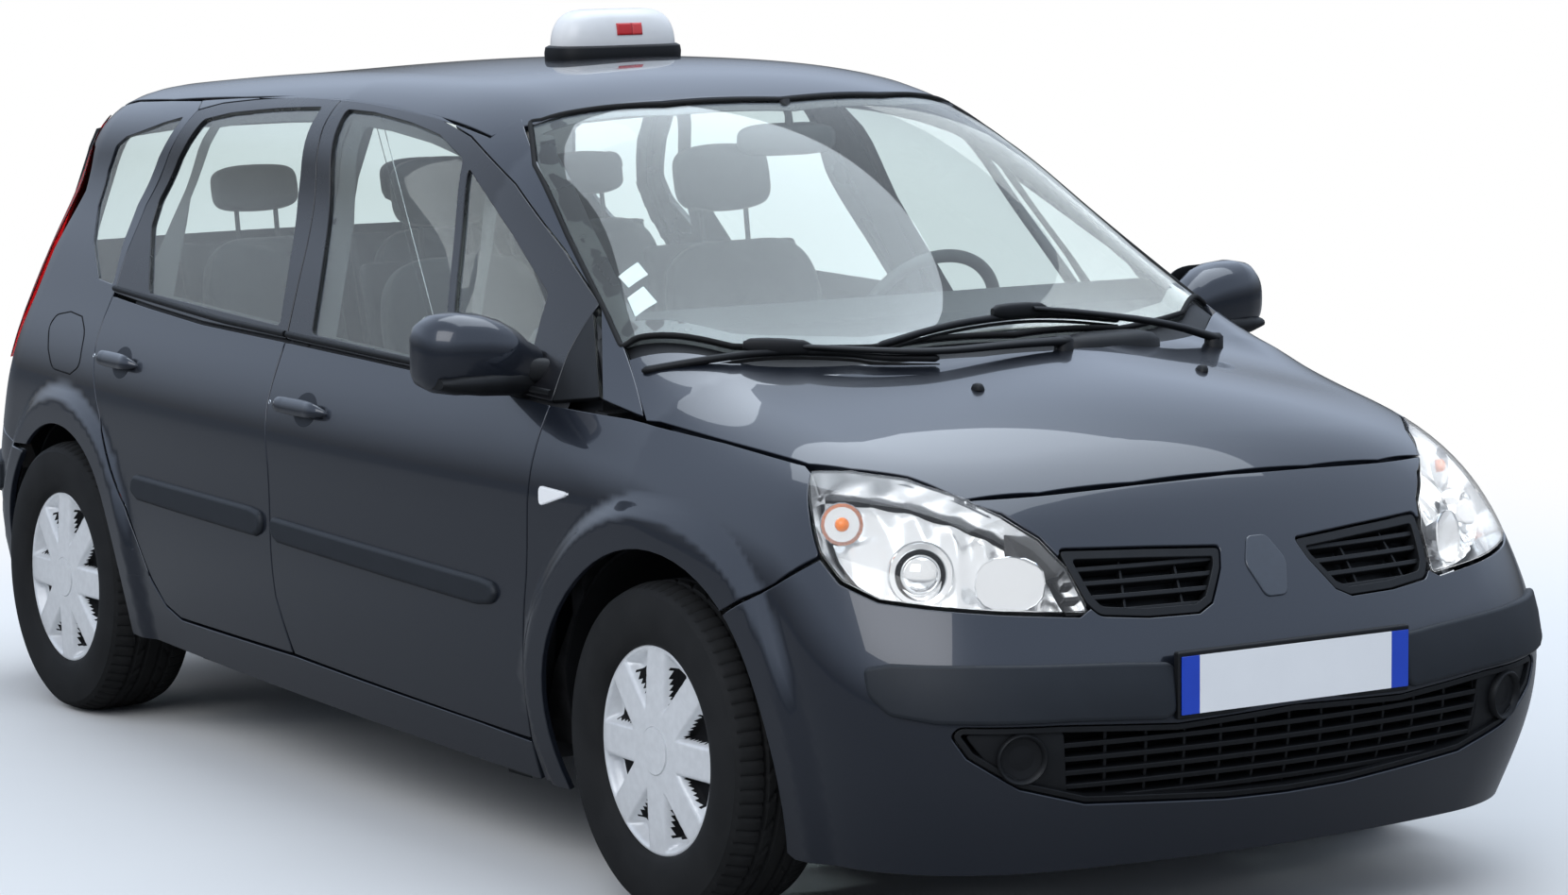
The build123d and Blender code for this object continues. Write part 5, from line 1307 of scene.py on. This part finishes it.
# inside mirror, on a stalk from the screen's head
c = np.array([-.845, 0.0, 1.385])
rows = ((-.012, .96), (-.010, 1.0), (.008, .97), (.020, .80), (.026, .5))
stack("inside_mirror", c, [(d, .118 * k, .034 * k) for d, k in rows], CABIN, 36, 3.4, (X, Y, Z), sharp=50)
stack("inside_mirror_glass", c, [(d, .112, .030) for d in (-.0125, -.0145)], MIRROR, 36, 3.4, (X, Y, Z), sharp=50)
tube("inside_mirror_stalk", [c + [.01, 0, .01], c + [.005, 0, .050], c + [-.010, 0, .082]], [.010, .008, .012], CABIN)

# finishes of the CAD nodes that show
FINISHES = {TRIM: ("boot_frame", "wheel_liners"), CABIN: ("dashboard", "floor_pan", "steering_wheel"),
            STEEL: ("front_subframe", "knuckle_left", "knuckle_right", "rear_axle"), ENGINE: ("engine_block",),
            EXHAUST: ("exhaust",)}
for mat, names in FINISHES.items():
    for n in names:
        nodes[n].data.materials.clear()
        nodes[n].data.materials.append(mat)

# ------------------------------------------------------------ studio
scene = bpy.context.scene
FOCAL_PX, PHOTO_WIDTH, SENSOR_MM = 4963.12, 1660, 36.0
CAMERA_AT, CAMERA_TURN = (7.38478 + AXLE, -5.24985, 1.94684), (147.5427, -7.0459, -0.5912)
cam_data = bpy.data.cameras.new("camera")
cam = bpy.data.objects.new("camera", cam_data)
scene.collection.objects.link(cam)
cam_data.sensor_width = SENSOR_MM
cam_data.lens = FOCAL_PX / PHOTO_WIDTH * SENSOR_MM
cam_data.clip_end = 200
yaw, pitch, roll = (math.radians(a) for a in CAMERA_TURN)
fwd = Vector((math.cos(pitch) * math.cos(yaw), math.cos(pitch) * math.sin(yaw), math.sin(pitch)))
right = fwd.cross(Vector(Z)).normalized()
up = right.cross(fwd)
turned_right = right * math.cos(roll) + up * math.sin(roll)
turned_up = up * math.cos(roll) - right * math.sin(roll)
cam.matrix_world = (Matrix.Translation(CAMERA_AT)
                    @ Matrix((turned_right, turned_up, -fwd)).transposed().to_4x4())
scene.camera = cam


def maths(tree, operation, kind="Math"):
    n = add(tree, kind)
    n.operation = operation
    return n


def seen_by_eye(tree):
    """The light path, and one for a ray from the camera, straight or through glass."""
    rays, either = add(tree, "LightPath"), maths(tree, "MAXIMUM")
    wire(tree, (rays, "Is Camera Ray", either, 0), (rays, "Is Transmission Ray", either, 1))
    return rays, either


# the world: white to the eye; to the car a pale sky over a dark ground, brighter where it is mirrored
world = bpy.data.worlds.new("studio")
scene.world = world
world.use_nodes = True
wn = world.node_tree
wn.nodes.clear()
out, sky, white = add(wn, "OutputWorld"), add(wn, "Background"), add(wn, "Background", Color=(1, 1, 1, 1))
coord, parts, mix = add(wn, "TexCoord"), add(wn, "SeparateXYZ"), add(wn, "MixShader")
height, ramp = add(wn, "MapRange", From_Min=-1, From_Max=1), add(wn, "ValToRGB")
for e, place, color in zip(ramp.color_ramp.elements, (0.50, 0.66), ((0.11, 0.115, 0.12, 1), (0.68, 0.80, 1.0, 1))):
    e.position, e.color = place, color
rays, eye = seen_by_eye(wn)
shine = maths(wn, "MULTIPLY_ADD")
shine.inputs[1].default_value, shine.inputs[2].default_value = 0.40, 0.62
wire(wn, (coord, "Generated", parts, "Vector"), (parts, "Z", height, "Value"), (height, "Result", ramp, "Fac"),
     (ramp, "Color", sky, "Color"), (rays, "Is Glossy Ray", shine, 0), (shine, "Value", sky, "Strength"),
     (eye, "Value", mix, "Fac"), (sky, "Background", mix, 1), (white, "Background", mix, 2),
     (mix, "Shader", out, "Surface"))

# the floor: white paper, fading to plain white far from the car, dark where the paint mirrors it
FLOOR_R = 60.0
floor_mesh = bpy.data.meshes.new("floor")
floor_mesh.from_pydata([(-FLOOR_R, -FLOOR_R, 0), (FLOOR_R, -FLOOR_R, 0), (FLOOR_R, FLOOR_R, 0), (-FLOOR_R, FLOOR_R, 0)],
                       [], [(0, 1, 2, 3)])
floor = bpy.data.objects.new("floor", floor_mesh)
scene.collection.objects.link(floor)
fm, ft, paper = new_mat("floor", (0.80, 0.80, 0.79), 0.9)
coord, far = add(ft, "TexCoord"), maths(ft, "LENGTH", "VectorMath")
fade, share = add(ft, "MapRange", From_Min=2.6, From_Max=5.5), maths(ft, "MULTIPLY")
fade.interpolation_type = "SMOOTHSTEP"
rays, eye = seen_by_eye(ft)
white, shade = add(ft, "Emission", Color=(1, 1, 1, 1)), add(ft, "BsdfDiffuse", Color=(0.20, 0.20, 0.20, 1))
mirrored, mix = add(ft, "MixShader"), add(ft, "MixShader")
wire(ft, (coord, "Object", far, 0), (far, "Value", fade, "Value"), (fade, "Result", share, 0),
     (eye, "Value", share, 1), (share, "Value", mix, "Fac"), (rays, "Is Glossy Ray", mirrored, "Fac"),
     (paper, "BSDF", mirrored, 1), (shade, "BSDF", mirrored, 2), (mirrored, "Shader", mix, 1),
     (white, "Emission", mix, 2), (mix, "Shader", ft.nodes["Material Output"], "Surface"))
floor_mesh.materials.append(fm)


def area_light(name, place, target, size, power, color=(1, 1, 1), shines=True):
    d = bpy.data.lights.new(name, "AREA")
    d.shape = "RECTANGLE"
    d.size, d.size_y = size
    d.energy, d.color = power, color
    o = bpy.data.objects.new(name, d)
    o.location = place
    o.rotation_euler = (Vector(target) - Vector(place)).to_track_quat("-Z", "Y").to_euler()
    scene.collection.objects.link(o)
    o.visible_glossy = shines


area_light("key", (6.5, -9.0, 8.5), (0, 0, 0.5), (10, 7), 560)
area_light("fill", (-8.0, -9.0, 6.0), (0, 0, 0.5), (8, 6), 300, shines=False)
area_light("top", (-1.0, 2.0, 9.0), (-0.5, 0, 0.8), (9, 7), 440, (0.84, 0.92, 1.0))
area_light("back", (-3.0, 10.0, 6.0), (0, 0, 0.6), (9, 5), 300, shines=False)

scene.view_settings.view_transform = "Standard"
